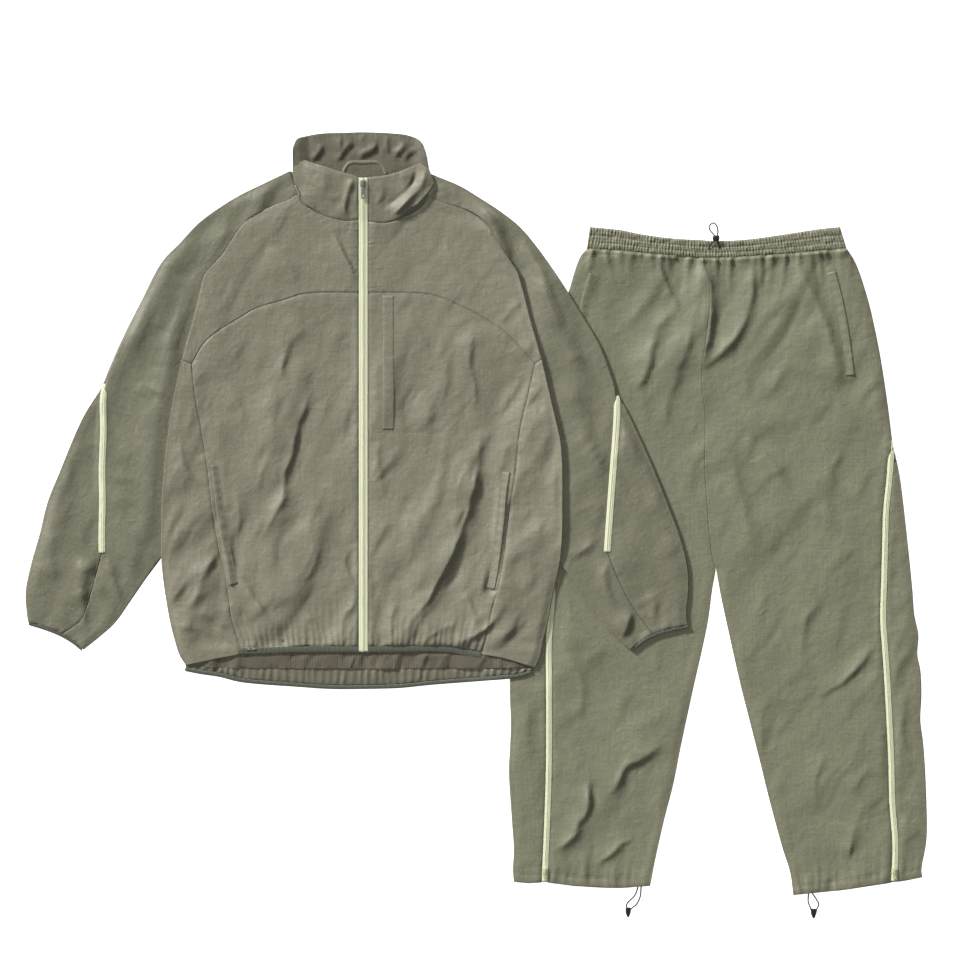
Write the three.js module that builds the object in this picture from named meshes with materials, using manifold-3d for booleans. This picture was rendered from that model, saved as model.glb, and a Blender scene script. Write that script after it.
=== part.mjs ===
// A tracksuit laid flat: a zip jacket lying partly over a pair of zip-leg trousers, all of thin nylon.
// Millimetres. +X is right and +Y is up as seen from above, +Z is up from the surface the garments lie on.
// "Right" and "left" in names are the wearer's, so the right side has negative X.
import * as THREE from 'three';
import { mergeVertices } from 'three/addons/utils/BufferGeometryUtils.js';
import Module from 'manifold-3d';

// Driving sizes
const CLOTH = 1.5; // wall of one layer of cloth
const SEAM = 0.4; // between two pieces that are sewn edge to edge
const REST = 0.4; // between two pieces that lie one on the other
const ROLL = 12; // width over which a folded edge rolls down
const BACK_TOP = 1.5; // upper face of the back pieces
const EDGE_TOP = 3.9; // upper face of a front piece at its folded outer edge
const BODY_TOP = 6.6; // upper face of the jacket front
const LIP_TOP = 6; // the same at its edge, where it lies over the tucked sleeve
const SLEEVE_TOP = 5;
const TUCK_TOP = 3.9; // upper face of the sleeve where it is tucked under the body
const TUCK = 15; // how far it is tucked in
const LEG_TOP = 5; // upper face of the trouser front
const COVERED_TOP = 3.5; // the same where the jacket lies on it
const JACKET_LIFT = 5.5; // how far the trousers lift what lies on them
const COLLAR_TOP = 16; // upper face of the collar at its front edge
const COLLAR_SIDE = 9; // the same at its sides
const COLLAR_WALL = 2;
const ZIP_HALF = 6.9; // half the width of the front zip with both tapes
const ZIP_NECK = 660; // where the front zip passes the neck seam
const ZIP_END = 725;
const LEG_ZIP_HALF = 4.8;
const TAPE = 1.3;
const TRIM = 1; // thickness of welts, placket and stripes
const CORD = 2.2; // diameter of the drawcords
const CLEAR = 0.3; // kept free beside a zip and under what lies on cloth
const NECK_RISE = 0.6; // how much the neck seam stands above the body
const TAPE_RISE = 0.6; // how much a leg zip's tape stands above its groove
const JACKET_FROM_TROUSERS = [-539.3, -128.5]; // hem centre of the jacket, from the crotch of the trousers

// Outlines of the jacket, from the middle of its front hem. Columns: x, y.
const jacket = {
  right: {
    sign: -1,
    shoulder: [
      [-112.5, 735.9], [-150.7, 717.6], [-196.6, 694.6], [-250.2, 657.9], [-280.8, 625.8],
      [-308.3, 596.7], [-338.9, 538.6], [-371, 474.3], [-393, 424],
    ],
    sleeveOuter: [
      [-393, 424], [-401.6, 403.9], [-429.2, 358], [-464.4, 275.4], [-482.7, 229.5],
      [-494.9, 180.5], [-508.7, 131.6], [-516.4, 91.8], [-514.8, 61.2], [-511.8, 41.3],
    ],
    cuff: [[-511.8, 41.3], [-487.3, 33.7], [-464.4, 24.5], [-446, 13.8], [-430.7, 1.5]],
    sleeveInner: [
      [-430.7, 1.5], [-398.6, 27.5], [-380.2, 44.4], [-354.2, 81.1], [-334.3, 110.2], [-311.4, 140.8],
    ],
    bodyEdge: [
      [-271.6, -19.9], [-280.8, -5], [-288.4, 18], [-296, 49], [-302, 83], [-306.8, 118], [-308.3, 141],
      [-308.3, 187], [-307.5, 233], [-303.7, 286], [-299.1, 324], [-293, 370], [-285.3, 409], [-277.5, 447],
    ],
    yokeEdge: [[-277.5, 447], [-271.6, 470], [-260.9, 508], [-250.2, 551], [-243.5, 577]],
    raglan: [
      [-243.5, 577], [-231.8, 590.6], [-216.5, 607.4], [-201.2, 630.4], [-189, 648.7], [-173.7, 664],
      [-135.4, 683.9], [-112.5, 693.1], [-98, 702.3],
    ],
    backRaglan: [[-228, 580], [-190, 655], [-140, 700], [-85, 728]],
    neckSide: [[-112.5, 735.9], [-106.8, 719.1], [-98, 702.3]],
    neck: [
      [-98, 702.3], [-92.6, 687], [-78.8, 677.8], [-63.5, 668.6], [-43.6, 662.5], [-28.3, 659.4], [-7.2, 661],
    ],
    collarEdge: [
      [-107.9, 768], [-101.7, 760.4], [-92.6, 754.3], [-78.8, 748.2], [-58.9, 742.1], [-36, 734.4],
      [-13, 728.3], [-7.2, 725.2],
    ],
    collarSide: [[-98, 702.3], [-106.3, 719.1], [-107.9, 734.4], [-107.9, 768]],
    yokeSeam: [
      [-262.4, 441], [-245.6, 469.7], [-231.8, 483.5], [-211.9, 497.3], [-189, 511], [-166, 524.8],
      [-120.1, 538.6], [-97.2, 546.2], [-66.6, 549.3], [-7.2, 549.3],
    ],
    sideSeam: [
      [-189, -3], [-192, 18.4], [-201.2, 49], [-205.8, 79.6], [-213.4, 125.5], [-221.1, 156.1], [-228.7, 202],
      [-234.9, 247.9], [-239.4, 286.1], [-245.6, 324.4], [-250.2, 355], [-256.3, 385.6], [-262.4, 441],
    ],
    hem: [[-189, -3.1], [-143, -1.5], [-97, 0], [-7.2, 0]],
    sideHem: [[-271.6, -19.9], [-234.9, -12.2], [-189, -3.1]],
    welt: [[-226.8, 286.1], [-222.3, 247.9], [-216.1, 202], [-209, 160], [-203, 130], [-197.5, 103]],
    stripe: [
      [-399.5, 151.5], [-399.5, 186.7], [-398.6, 232.6], [-399.3, 278.5], [-397, 339.7], [-397.5, 385.6],
      [-394, 410],
    ],
    underStripe: [[-446, 13.8], [-431, 50], [-415, 95], [-399.5, 151.5]],
  },
  left: {
    sign: 1,
    shoulder: [
      [103.3, 731.3], [147.6, 713], [178.2, 694.6], [208.8, 674.7], [239.4, 650.3], [270, 613.5],
      [300.6, 569.2], [331.2, 520.2], [361.8, 468.2], [378.7, 423.8], [385, 404],
    ],
    sleeveOuter: [
      [385, 404], [407.7, 358], [438.3, 292.2], [468.9, 217.3], [484.2, 176], [491.9, 148.4], [496.5, 122.4],
      [496.5, 87.2], [493.4, 61.2], [496.5, 36.7],
    ],
    cuff: [[496.5, 36.7], [472, 32.1], [446, 24.5], [430.7, 16.8], [410.8, 1.5]],
    sleeveInner: [[410.8, 1.5], [394, 15.3], [369.5, 39.8], [346.5, 67.3], [323.6, 104], [300.6, 137.7]],
    bodyEdge: [
      [262.4, -23], [270, -5], [274.6, 18], [282.3, 49], [288.4, 83], [296, 118], [300.6, 141], [303.7, 187],
      [303.7, 286], [300.6, 324], [290, 370], [280.8, 409], [272, 447],
    ],
    yokeEdge: [[272, 447], [265.5, 470], [254.7, 508], [244, 551], [235.5, 581]],
    raglan: [
      [235.5, 581], [221, 603], [202.7, 630.4], [190.5, 651.8], [175.2, 667], [155.3, 677.8], [124.7, 687],
      [98.7, 696.2],
    ],
    backRaglan: [[221, 584], [185, 655], [138, 700], [82, 727]],
    neckSide: [[103.3, 731.3], [106.5, 712], [98.7, 696.2]],
    neck: [[98.7, 696.2], [94.1, 685.4], [78.8, 673.2], [55.8, 662.5], [32.9, 656], [7.2, 658.4]],
    collarEdge: [[97.2, 757], [89.5, 749.7], [74.2, 742.1], [55.8, 734.4], [32.9, 728.3], [7.2, 725.2]],
    collarSide: [[98.7, 696.2], [107, 717.6], [101, 737], [97.2, 757]],
    yokeSeam: [
      [262.4, 441], [231.8, 474.3], [216.5, 489.6], [193.5, 504.9], [170.6, 518.7], [147.6, 529.4],
      [124.7, 540.1], [101.7, 546.2], [55.8, 549.3], [7.2, 549.3],
    ],
    sideSeam: [
      [180, -3], [190.5, 33.7], [196.6, 64.3], [204.3, 91.8], [215, 148.4], [221.1, 194.3], [225.7, 232.6],
      [231.8, 270.8], [239.4, 339.7], [251.7, 393.2], [262.4, 441],
    ],
    hem: [[180, -7.7], [155.3, -4.6], [132, 0], [7.2, 0]],
    sideHem: [[262.4, -23], [208.8, -10.7], [180, -7.7]],
    welt: [[218, 275.4], [213, 240.2], [210, 202], [205.5, 163.7], [200.5, 128], [194.5, 97]],
    stripe: [
      [372.6, 153], [377.1, 217.3], [381.7, 278.5], [386.3, 339.7], [387.9, 375], [386.5, 392],
    ],
    underStripe: [[444, 24], [416, 62], [392, 105], [372.6, 153]],
  },
  collarBack: [
    [-107.9, 768], [-101.7, 783.4], [-89.5, 788], [-66.6, 792.5], [-28.3, 794.1], [2.3, 794.8], [40.5, 793.3],
    [63.5, 791], [78.8, 786.4], [88, 780.3], [94.1, 768.1], [97.2, 757],
  ],
  backNeck: [[-107.9, 731], [-85, 728], [-40, 727], [40, 727], [82, 727], [100, 730]],
  backHem: [
    [-273.1, -29.1], [-250.2, -33.7], [-219.6, -38.3], [-189, -45.9], [-97.2, -53.6], [-51.3, -56.6],
    [2.3, -56.6], [55.8, -55.1], [101.7, -50.5], [178.2, -44.4], [239.4, -38.3], [257.8, -32.1],
  ],
  bandTop: [[-271.6, -22], [262.4, -24.5]],
};

// Outlines of the trousers, from the crotch. Columns: x, y.
const trousers = {
  right: {
    sign: -1,
    outerTop: [
      [-269.5, 194.3], [-257, 287], [-244, 355], [-224.9, 425.3], [-208.1, 475.8], [-197.4, 489],
    ],
    outerLow: [
      [-309.1, -480], [-310.6, -462.1], [-309.1, -431.5], [-312.1, -385.6], [-316.7, -309.1], [-315.2, -278.5],
      [-313.7, -240.2], [-315.2, -171.4], [-308, -103], [-300, -34], [-292, 43], [-281, 134], [-275, 165],
    ],
    inner: [
      [-101, -486], [-93.3, -446.8], [-79.6, -385.6], [-65.8, -332], [-53.6, -270.8], [-42.8, -220.3],
      [-32.1, -171.4], [-19.9, -117.8], [-12.2, -79.6], [-6.1, -33.7], [-0.6, -3],
    ],
    zip: [
      [-262, -479.5], [-257, -355], [-255.5, -293.8], [-255.5, -171.4], [-255.5, -110.2], [-250.9, -49],
      [-254, 42.8], [-258, 88.7], [-262, 134.6], [-269.5, 194.3],
    ],
    hem: [[-309.1, -480], [-285, -482], [-261.6, -480.4], [-215.7, -486.5], [-146.9, -489.6], [-101, -486]],
    waist: [[-197.4, 489], [-139.2, 485], [-101, 481], [-55.1, 477.5], [-20.8, 474.3]],
    pocket: [[-187, 449.8], [-199, 410], [-206, 360], [-212, 297]],
  },
  left: {
    sign: 1,
    outerTop: [
      [269.3, 195.8], [261.6, 257], [250.9, 325.9], [241.7, 371.8], [232.6, 410], [212.7, 468.2], [198.9, 489],
    ],
    outerLow: [
      [315.2, -472.8], [313.7, -462.1], [321.3, -416.2], [321.3, -355], [316.7, -270.8], [312.1, -232.6],
      [313.7, -194.3], [312.1, -156.1], [307.5, -133.1], [309.1, -102.5], [302.9, -71.9], [299.9, -33.7],
      [292.2, 42.8], [281.5, 134.6], [276, 165],
    ],
    inner: [
      [118, -500], [113.2, -465.1], [102.5, -431.5], [79.6, -347.3], [67.3, -296.8], [49, -224.9],
      [36.7, -176], [16.8, -87.2], [6.1, -36.7], [0.6, -3],
    ],
    zip: [
      [272, -479], [274, -440], [273.9, -416.2], [269.3, -355], [267.8, -293.8], [261.6, -171.4],
      [258.6, -125.5], [255.5, -79.6], [257, -18.4], [258.6, 42.8], [260.1, 88.7], [264.7, 134.6],
      [269.3, 195.8],
    ],
    hem: [[315.2, -472.8], [290, -478], [272, -480.5], [250.9, -483.5], [189.7, -492.7], [118, -500]],
    waist: [[198.9, 489], [174.4, 487], [128.5, 482.5], [67.3, 478], [13.8, 475], [-20.8, 474.3]],
    pocket: [[176, 452.9], [187, 410], [197, 356.5], [205, 294]],
  },
  centreSeam: [
    [0, -3], [-4.6, 12.2], [-9.2, 42.8], [-13.8, 104], [-16.8, 149.9], [-16.8, 241.7], [-21.4, 280],
    [-19.9, 318.2], [-13.8, 364.1], [-9.2, 410], [-12.2, 448.3], [-20.8, 474.3],
  ],
  waistTop: [
    [-192.8, 521.7], [-146.9, 517.1], [-116.3, 511], [-85.7, 506.4], [-55.1, 503.4], [-24.5, 501.8],
    [-1.5, 500.3], [36.7, 501.8], [67.3, 504.9], [97.9, 509.5], [128.5, 514.1], [159.1, 518.7], [189, 521.7],
  ],
};

// The largest folds. Columns: h height, wide half width, path the crest's points (x, y).
const jacketFolds = [
  { h: 2.2, wide: 22, path: [[-88, 505], [-112, 470], [-125, 431], [-128, 409]] },
  { h: 3.4, wide: 24, path: [[-67, 424], [-100, 340], [-119, 271], [-123, 233], [-135, 210], [-174, 153]] },
  { h: 2, wide: 22, path: [[-131, 324], [-155, 278], [-164, 233]] },
  { h: 2.6, wide: 22, path: [[-201, 141], [-181, 103], [-155, 67], [-110, 30]] },
  { h: 2.2, wide: 18, path: [[-48, 643], [-34, 607], [-24, 568]] },
  {
    h: 3.8,
    wide: 26,
    path: [[171, 324], [166, 278], [158, 233], [145, 187], [128, 141], [109, 103], [82, 52]],
  },
  { h: 2.4, wide: 22, path: [[168, 500], [163, 416], [175, 396], [168, 355], [184, 278]] },
  { h: 2.2, wide: 18, path: [[56, 95], [44, 57], [42, 28]] },
  { h: 2.6, wide: 20, path: [[209, 57], [171, 36], [125, 28]] },
];
const sleeveFolds = [
  { h: 2.6, wide: 18, path: [[-285, 531], [-304, 500], [-318, 470], [-316, 435]] },
  { h: 2, wide: 20, path: [[-373, 455], [-372, 416], [-370, 355]] },
  { h: 2.2, wide: 18, path: [[-350, 271], [-372, 250]] },
  { h: 3, wide: 20, path: [[-425, 128], [-440, 90], [-446, 50]] },
  { h: 2, wide: 16, path: [[-388, 130], [-376, 95], [-374, 72]] },
  { h: 2.8, wide: 20, path: [[276, 600], [292, 554], [310, 508], [326, 470], [340, 439]] },
  { h: 2.4, wide: 18, path: [[332, 390], [338, 350], [343, 324], [353, 278]] },
  { h: 2, wide: 18, path: [[354, 171], [328, 150]] },
  { h: 2.8, wide: 18, path: [[421, 84], [412, 44]] },
];
const legFolds = [
  { h: 3.2, wide: 20, path: [[-30, 460], [-24, 430], [-22, 400], [-26, 364], [-30, 318]] },
  { h: 2.4, wide: 22, path: [[57, 441], [55, 410], [40, 372], [21, 341], [2, 318]] },
  { h: 2.6, wide: 24, path: [[129, 448], [147, 410], [159, 387], [165, 356]] },
  { h: 2.8, wide: 22, path: [[-55, 395], [-86, 372], [-98, 341], [-104, 303], [-116, 280], [-139, 265]] },
  { h: 2.2, wide: 24, path: [[14, 211], [44, 89], [50, 30]] },
  { h: 2, wide: 22, path: [[37, 211], [67, 181], [121, 112]] },
  { h: 2.6, wide: 20, path: [[232, -120], [217, -148], [197, -171], [151, -202]] },
  { h: 2.4, wide: 22, path: [[213, -386], [202, -437]] },
  { h: 3, wide: 22, path: [[-83, -260], [-113, -291], [-139, -306], [-159, -340], [-177, -352]] },
  { h: 3, wide: 20, path: [[-190, -324], [-196, -373], [-213, -395], [-226, -428]] },
  { h: 2.4, wide: 20, path: [[-129, -413], [-157, -434], [-185, -452]] },
];

const colours = {
  jacketCloth: 0x8b8875,
  sleeveCloth: 0x7d7968,
  trouserCloth: 0x81806c,
  binding: 0x646858,
  tape: 0xdee0be,
  metal: 0x4a4a48,
  cord: 0x2b2b28,
  mesh: 0x8f8170,
};

const solids = await Module();
solids.setup();

// Small helpers for numbers, points and outlines
const mix = (a, b, t) => a + (b - a) * t;
const smooth = (from, to, x) => {
  const t = THREE.MathUtils.clamp((x - from) / (to - from), 0, 1);
  return t * t * (3 - 2 * t);
};
const moved = (points, dx, dy) => points.map(([x, y]) => [x + dx, y + dy]);
const join = (...lines) => lines.reduce((all, next) => [...all, ...next.slice(1)]);
const reversed = (points) => [...points].reverse();

function sample(points, count) {
  const bends = points.map(([x, y]) => new THREE.Vector3(x, y, 0));
  const curve = new THREE.CatmullRomCurve3(bends, false, 'centripetal');
  curve.arcLengthDivisions = 400;
  return curve.getSpacedPoints(count).map((p) => [p.x, p.y]);
}

// The point at share t along a line whose segments count alike
function pointAt(line, t) {
  const place = t * (line.length - 1);
  const first = Math.min(Math.floor(place), line.length - 2);
  const rest = place - first;
  return [mix(line[first][0], line[first + 1][0], rest), mix(line[first][1], line[first + 1][1], rest)];
}

// How far (x, y) is from a line, and how far along the line its nearest point is, from 0 to 1
function nearest(line, x, y) {
  let best = { far: Infinity, along: 0 };
  for (let i = 0; i + 1 < line.length; i += 1) {
    const [ax, ay] = line[i];
    const dx = line[i + 1][0] - ax;
    const dy = line[i + 1][1] - ay;
    const t = THREE.MathUtils.clamp(((x - ax) * dx + (y - ay) * dy) / (dx * dx + dy * dy), 0, 1);
    const far = Math.hypot(x - ax - t * dx, y - ay - t * dy);
    if (far < best.far) best = { far, along: (i + t) / (line.length - 1) };
  }
  return best;
}

// The line moved sideways, to its left as one walks along it
function beside(line, distance) {
  return line.map((point, i) => {
    const before = line[Math.max(i - 1, 0)];
    const after = line[Math.min(i + 1, line.length - 1)];
    const dx = after[0] - before[0];
    const dy = after[1] - before[1];
    const long = Math.hypot(dx, dy);
    return [point[0] - (dy / long) * distance, point[1] + (dx / long) * distance];
  });
}

function inside(polygon, x, y) {
  let odd = false;
  polygon.forEach(([ax, ay], i) => {
    const [bx, by] = polygon[(i + 1) % polygon.length];
    if (ay > y !== by > y && x < ((bx - ax) * (y - ay)) / (by - ay) + ax) odd = !odd;
  });
  return odd;
}

// The x of an outline at height y
function across(outline, y) {
  const rising = [...outline].sort((a, b) => a[1] - b[1]);
  const next = rising.findIndex((p) => p[1] > y);
  if (next === 0) return rising[0][0];
  if (next < 0) return rising[rising.length - 1][0];
  const [low, high] = [rising[next - 1], rising[next]];
  return mix(low[0], high[0], (y - low[1]) / (high[1] - low[1]));
}

function foldHeight(folds, x, y) {
  return folds.reduce((sum, { h, wide, path }) => {
    const { far, along } = nearest(path, x, y);
    const ends = smooth(0, 0.3, along) * smooth(0, 0.3, 1 - along);
    return sum + h * ends * (1 - smooth(0, wide, far));
  }, 0);
}

// Every mesh goes through here, in its garment's own group
const garments = { jacket: new THREE.Group(), trousers: new THREE.Group() };
const made = {};

function add(garment, name, geometry, colour, roughness = 0.75, metalness = 0) {
  geometry.computeVertexNormals();
  const material = new THREE.MeshStandardMaterial({ color: colour, roughness, metalness });
  material.side = THREE.DoubleSide;
  const mesh = new THREE.Mesh(geometry, material);
  mesh.name = name;
  garments[garment].add(mesh);
  return mesh;
}

// A panel's plan: rows of points filling the space between four edges. Left and right run upward with the rows,
// bottom and top run with the columns, and counts says how many columns a row has.
function fill({ left, right, bottom, top }, counts) {
  const rows = left.length - 1;
  const corners = [bottom[0], bottom[bottom.length - 1], top[0], top[top.length - 1]];
  return left.map((_, j) => {
    const v = j / rows;
    const count = counts(j, rows);
    const shares = Array.isArray(count) ? count : Array.from({ length: count + 1 }, (__, i) => i / count);
    return shares.map((u) => {
      const [l, r, b, t] = [left[j], right[j], pointAt(bottom, u), pointAt(top, u)];
      const place = [0, 1].map((k) => {
        const sides = mix(l[k], r[k], u) + mix(b[k], t[k], v);
        return sides - mix(mix(corners[0][k], corners[1][k], u), mix(corners[2][k], corners[3][k], u), v);
      });
      return { x: place[0], y: place[1], u, v };
    });
  });
}

function rim(rows) {
  const last = rows.length - 1;
  return [
    ...rows[0],
    ...rows.slice(1, last).map((row) => row[row.length - 1]),
    ...[...rows[last]].reverse(),
    ...rows.slice(1, last).reverse().map((row) => row[0]),
  ];
}

const area = (loop) => loop.reduce((sum, p, i) => {
  const q = loop[(i + 1) % loop.length];
  return sum + (p.x * q.y - q.x * p.y) / 2;
}, 0);

// Draws the rim in by half a seam, so that two pieces with one seam line stay a seam apart
function drawIn(rows) {
  const loop = rim(rows);
  const turn = Math.sign(area(loop));
  const steps = loop.map((p, i) => {
    const before = loop[(i + loop.length - 1) % loop.length];
    const after = loop[(i + 1) % loop.length];
    const sides = [[before, p], [p, after]].map(([a, b]) => {
      const long = Math.hypot(b.x - a.x, b.y - a.y) || 1;
      return [(-(b.y - a.y) / long) * turn, ((b.x - a.x) / long) * turn];
    });
    const facing = Math.max(1 + sides[0][0] * sides[1][0] + sides[0][1] * sides[1][1], 0.6);
    return [(sides[0][0] + sides[1][0]) / facing, (sides[0][1] + sides[1][1]) / facing];
  });
  loop.forEach((p, i) => {
    p.x += (steps[i][0] * SEAM) / 2;
    p.y += (steps[i][1] * SEAM) / 2;
  });
}

// Triangles between two rows of points whose counts may differ
function stitchRows(lower, upper, offsets, triangles) {
  let [i, j] = [0, 0];
  while (i < lower.length - 1 || j < upper.length - 1) {
    const behind = j === upper.length - 1 || lower[i + 1]?.u <= upper[j + 1].u + 1e-9;
    const stepLower = i < lower.length - 1 && behind;
    if (stepLower) {
      triangles.push([offsets[0] + i, offsets[0] + i + 1, offsets[1] + j]);
      i += 1;
    } else {
      triangles.push([offsets[0] + i, offsets[1] + j + 1, offsets[1] + j]);
      j += 1;
    }
  }
}

function toGeometry(points, triangles) {
  const geometry = new THREE.BufferGeometry();
  geometry.setAttribute('position', new THREE.Float32BufferAttribute(points.flat(), 3));
  geometry.setIndex(triangles.flat());
  return geometry;
}

// A wall of cloth on a plan. top(x, y, u, v) is its upper face, and wall its thickness.
function wallOn(rows, top, wall = () => CLOTH) {
  const offsets = [];
  const upper = [];
  const lower = [];
  rows.forEach((row) => {
    offsets.push(upper.length);
    row.forEach((p) => {
      p.index = upper.length;
      p.z = top(p.x, p.y, p.u, p.v);
      upper.push([p.x, p.y, p.z]);
      lower.push([p.x, p.y, p.z - wall(p.z, p.x, p.y)]);
    });
  });
  const faces = [];
  rows.slice(1).forEach((row, j) => stitchRows(rows[j], row, [offsets[j], offsets[j + 1]], faces));
  const loop = rim(rows);
  const count = upper.length;
  const turned = area(loop) < 0;
  const sides = loop.flatMap((p, i) => {
    const q = loop[(i + 1) % loop.length];
    return [[p.index, q.index + count, q.index], [p.index, p.index + count, q.index + count]];
  });
  const under = faces.map(([a, b, c]) => [a + count, c + count, b + count]);
  const triangles = [...faces, ...under, ...sides].map(([a, b, c]) => (turned ? [a, c, b] : [a, b, c]));
  return { geometry: toGeometry([...upper, ...lower], triangles), upper, faces };
}

function panel(garment, name, edges, counts, top, colour, wall) {
  const rows = fill(edges, counts);
  drawIn(rows);
  made[name] = wallOn(rows, top, wall);
  add(garment, name, made[name].geometry, colour);
}

// The upper face's real height at (x, y) on a panel's own triangles, or null beside it
function heightOn(name, x, y) {
  const { upper, faces } = made[name];
  for (const [a, b, c] of faces) {
    const [p, q, r] = [upper[a], upper[b], upper[c]];
    const whole = (q[0] - p[0]) * (r[1] - p[1]) - (r[0] - p[0]) * (q[1] - p[1]);
    const s = ((x - p[0]) * (r[1] - p[1]) - (r[0] - p[0]) * (y - p[1])) / whole;
    const t = ((q[0] - p[0]) * (y - p[1]) - (x - p[0]) * (q[1] - p[1])) / whole;
    if (s >= -1e-6 && t >= -1e-6 && s + t <= 1 + 1e-6) return p[2] + s * (q[2] - p[2]) + t * (r[2] - p[2]);
  }
  return null;
}

// The highest of some panels near (x, y), so that a trim laid there clears them
function highestOn(names, x, y, reach) {
  const places = [[0, 0], [reach, 0], [-reach, 0], [0, reach], [0, -reach]];
  const heights = places.flatMap(([dx, dy]) => names.map((name) => heightOn(name, x + dx, y + dy)));
  return Math.max(...heights.filter((z) => z !== null));
}

// A strip that lies on panels, along a middle line
function trim(garment, name, line, half, panels, colour, thick, groove = 0) {
  const [one, two] = [beside(line, half), beside(line, -half)];
  const shares = groove ? [0, 0.42, 0.5, 0.58, 1] : [0, 1];
  const rows = line.map((_, j) => shares.map((u) => ({
    x: mix(one[j][0], two[j][0], u),
    y: mix(one[j][1], two[j][1], u),
    u,
    v: j / (line.length - 1),
  })));
  const levels = line.map(([x, y]) => highestOn(panels, x, y, half));
  const top = (x, y, u, v) => {
    const level = levels[Math.round(v * (line.length - 1))];
    return level + REST + thick - (u === 0.5 ? groove : 0);
  };
  add(garment, name, wallOn(rows, top, () => thick - groove).geometry, colour);
  return levels;
}

// Heights of the jacket. What lies over the right leg of the trousers is lifted by it.
const [gapX, gapY] = JACKET_FROM_TROUSERS;
const rightLegOuter = [...trousers.right.outerLow, ...trousers.right.outerTop];

function lift(x, y) {
  const past = x + gapX - across(rightLegOuter, y + gapY);
  return JACKET_LIFT * smooth(-76, -16, past) * smooth(605, 565, y);
}

function sideOf(x) {
  return x < 0 ? jacket.right : jacket.left;
}

function collarStart(x) {
  const side = sideOf(x);
  return across(side.neck.map(([a, b]) => [b, a]), x);
}

// The main zip rises from the body's level with the slope of the collar
function zipLevel(y) {
  const neck = BODY_TOP + NECK_RISE;
  if (y < ZIP_NECK) return mix(BODY_TOP, neck, smooth(ZIP_NECK - 20, ZIP_NECK, y));
  return mix(neck, COLLAR_TOP, (y - ZIP_NECK) / (ZIP_END - ZIP_NECK));
}

function bodyHeight(x, y) {
  const side = sideOf(x);
  const edge = join(side.bodyEdge, side.yokeEdge, side.raglan);
  const { far } = nearest(edge, x, y);
  const atEdge = mix(EDGE_TOP, LIP_TOP, smooth(95, 130, y));
  const calm = smooth(8, 30, far) * smooth(8, 26, Math.abs(x)) * smooth(10, 40, y)
    * smooth(4, 22, nearest(side.welt, x, y).far);
  const flat = mix(atEdge, BODY_TOP, smooth(0, ROLL, far));
  const neck = NECK_RISE * smooth(40, 0, nearest(side.neck, x, y).far);
  return flat + neck + foldHeight(jacketFolds, x, y) * calm + lift(x, y);
}

function sleeveHeight(x, y) {
  const side = sideOf(x);
  const silhouette = Math.min(
    nearest(join(side.shoulder, side.sleeveOuter, side.cuff), x, y).far,
    nearest(side.sleeveInner, x, y).far,
  );
  const body = nearest(join(side.bodyEdge.slice(6), side.yokeEdge), x, y).far;
  const under = side.sign * (across([...side.bodyEdge, ...side.yokeEdge], y) - x) > 0;
  const tucked = (under ? 1 : 1 - smooth(2, 16, body)) * (1 - smooth(582, 612, y)) * smooth(110, 135, y);
  const calm = smooth(6, 24, silhouette) * smooth(4, 26, body) * smooth(6, 18, nearest(side.stripe, x, y).far);
  const puffed = mix(EDGE_TOP, SLEEVE_TOP, smooth(0, ROLL, silhouette)) + foldHeight(sleeveFolds, x, y) * calm;
  return mix(puffed, TUCK_TOP, tucked) + lift(x, y);
}

function collarHeight(x, y) {
  const side = sideOf(x);
  const start = collarStart(x);
  const end = across(side.collarEdge.map(([a, b]) => [b, a]), x);
  const t = THREE.MathUtils.clamp((y - start) / (end - start), 0, 1);
  const sloped = mix(BODY_TOP + NECK_RISE, COLLAR_TOP, t);
  return mix(sloped, COLLAR_SIDE, smooth(58, 96, Math.abs(x)));
}

// Fine gathers: a wave across the columns that fades away from the gathered edge
const gathered = (count, u, height) => height * (0.5 - 0.5 * Math.cos(2 * Math.PI * count * u));

// The jacket
const FRONT_ROWS = 18; // rows from the hem to the yoke seam
const FRONT_COLUMNS = 8;
const FRONT_GATHERS = 19; // gathers in each front's hem
const RAGLAN_ROWS = 7;
const TUCK_ROWS = 12;
const INNER_ROWS = 7;
const BACK_INNER_ROWS = 3;
// Columns of the back, finer where the trousers lift it
const BACK_SHARES = [0, 0.2, 0.4, 0.6, 0.7, 0.77, 0.83, 0.88, 0.92, 0.96, 1];
const BACK_TUCK_ROWS = 8;
const BACK_RAGLAN_ROWS = 3;
const UPPER_ROWS = 13;
const LOWER_ROWS = 13;
const CUFF_GATHERS = 8;
const HEM_BINDING = 12;
const CUFF_BINDING = 5;

// The line along which the sleeve is tucked under the body, from the armpit up to the raglan seam
function tuckLine(side, rows) {
  const over = sample([...side.bodyEdge.slice(6), ...side.yokeEdge.slice(1)], rows);
  return over.map(([x, y], i) => {
    const depth = TUCK * smooth(0, 0.07, i / rows) * smooth(0, 0.12, 1 - i / rows);
    return [x - side.sign * depth, y];
  });
}

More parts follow.
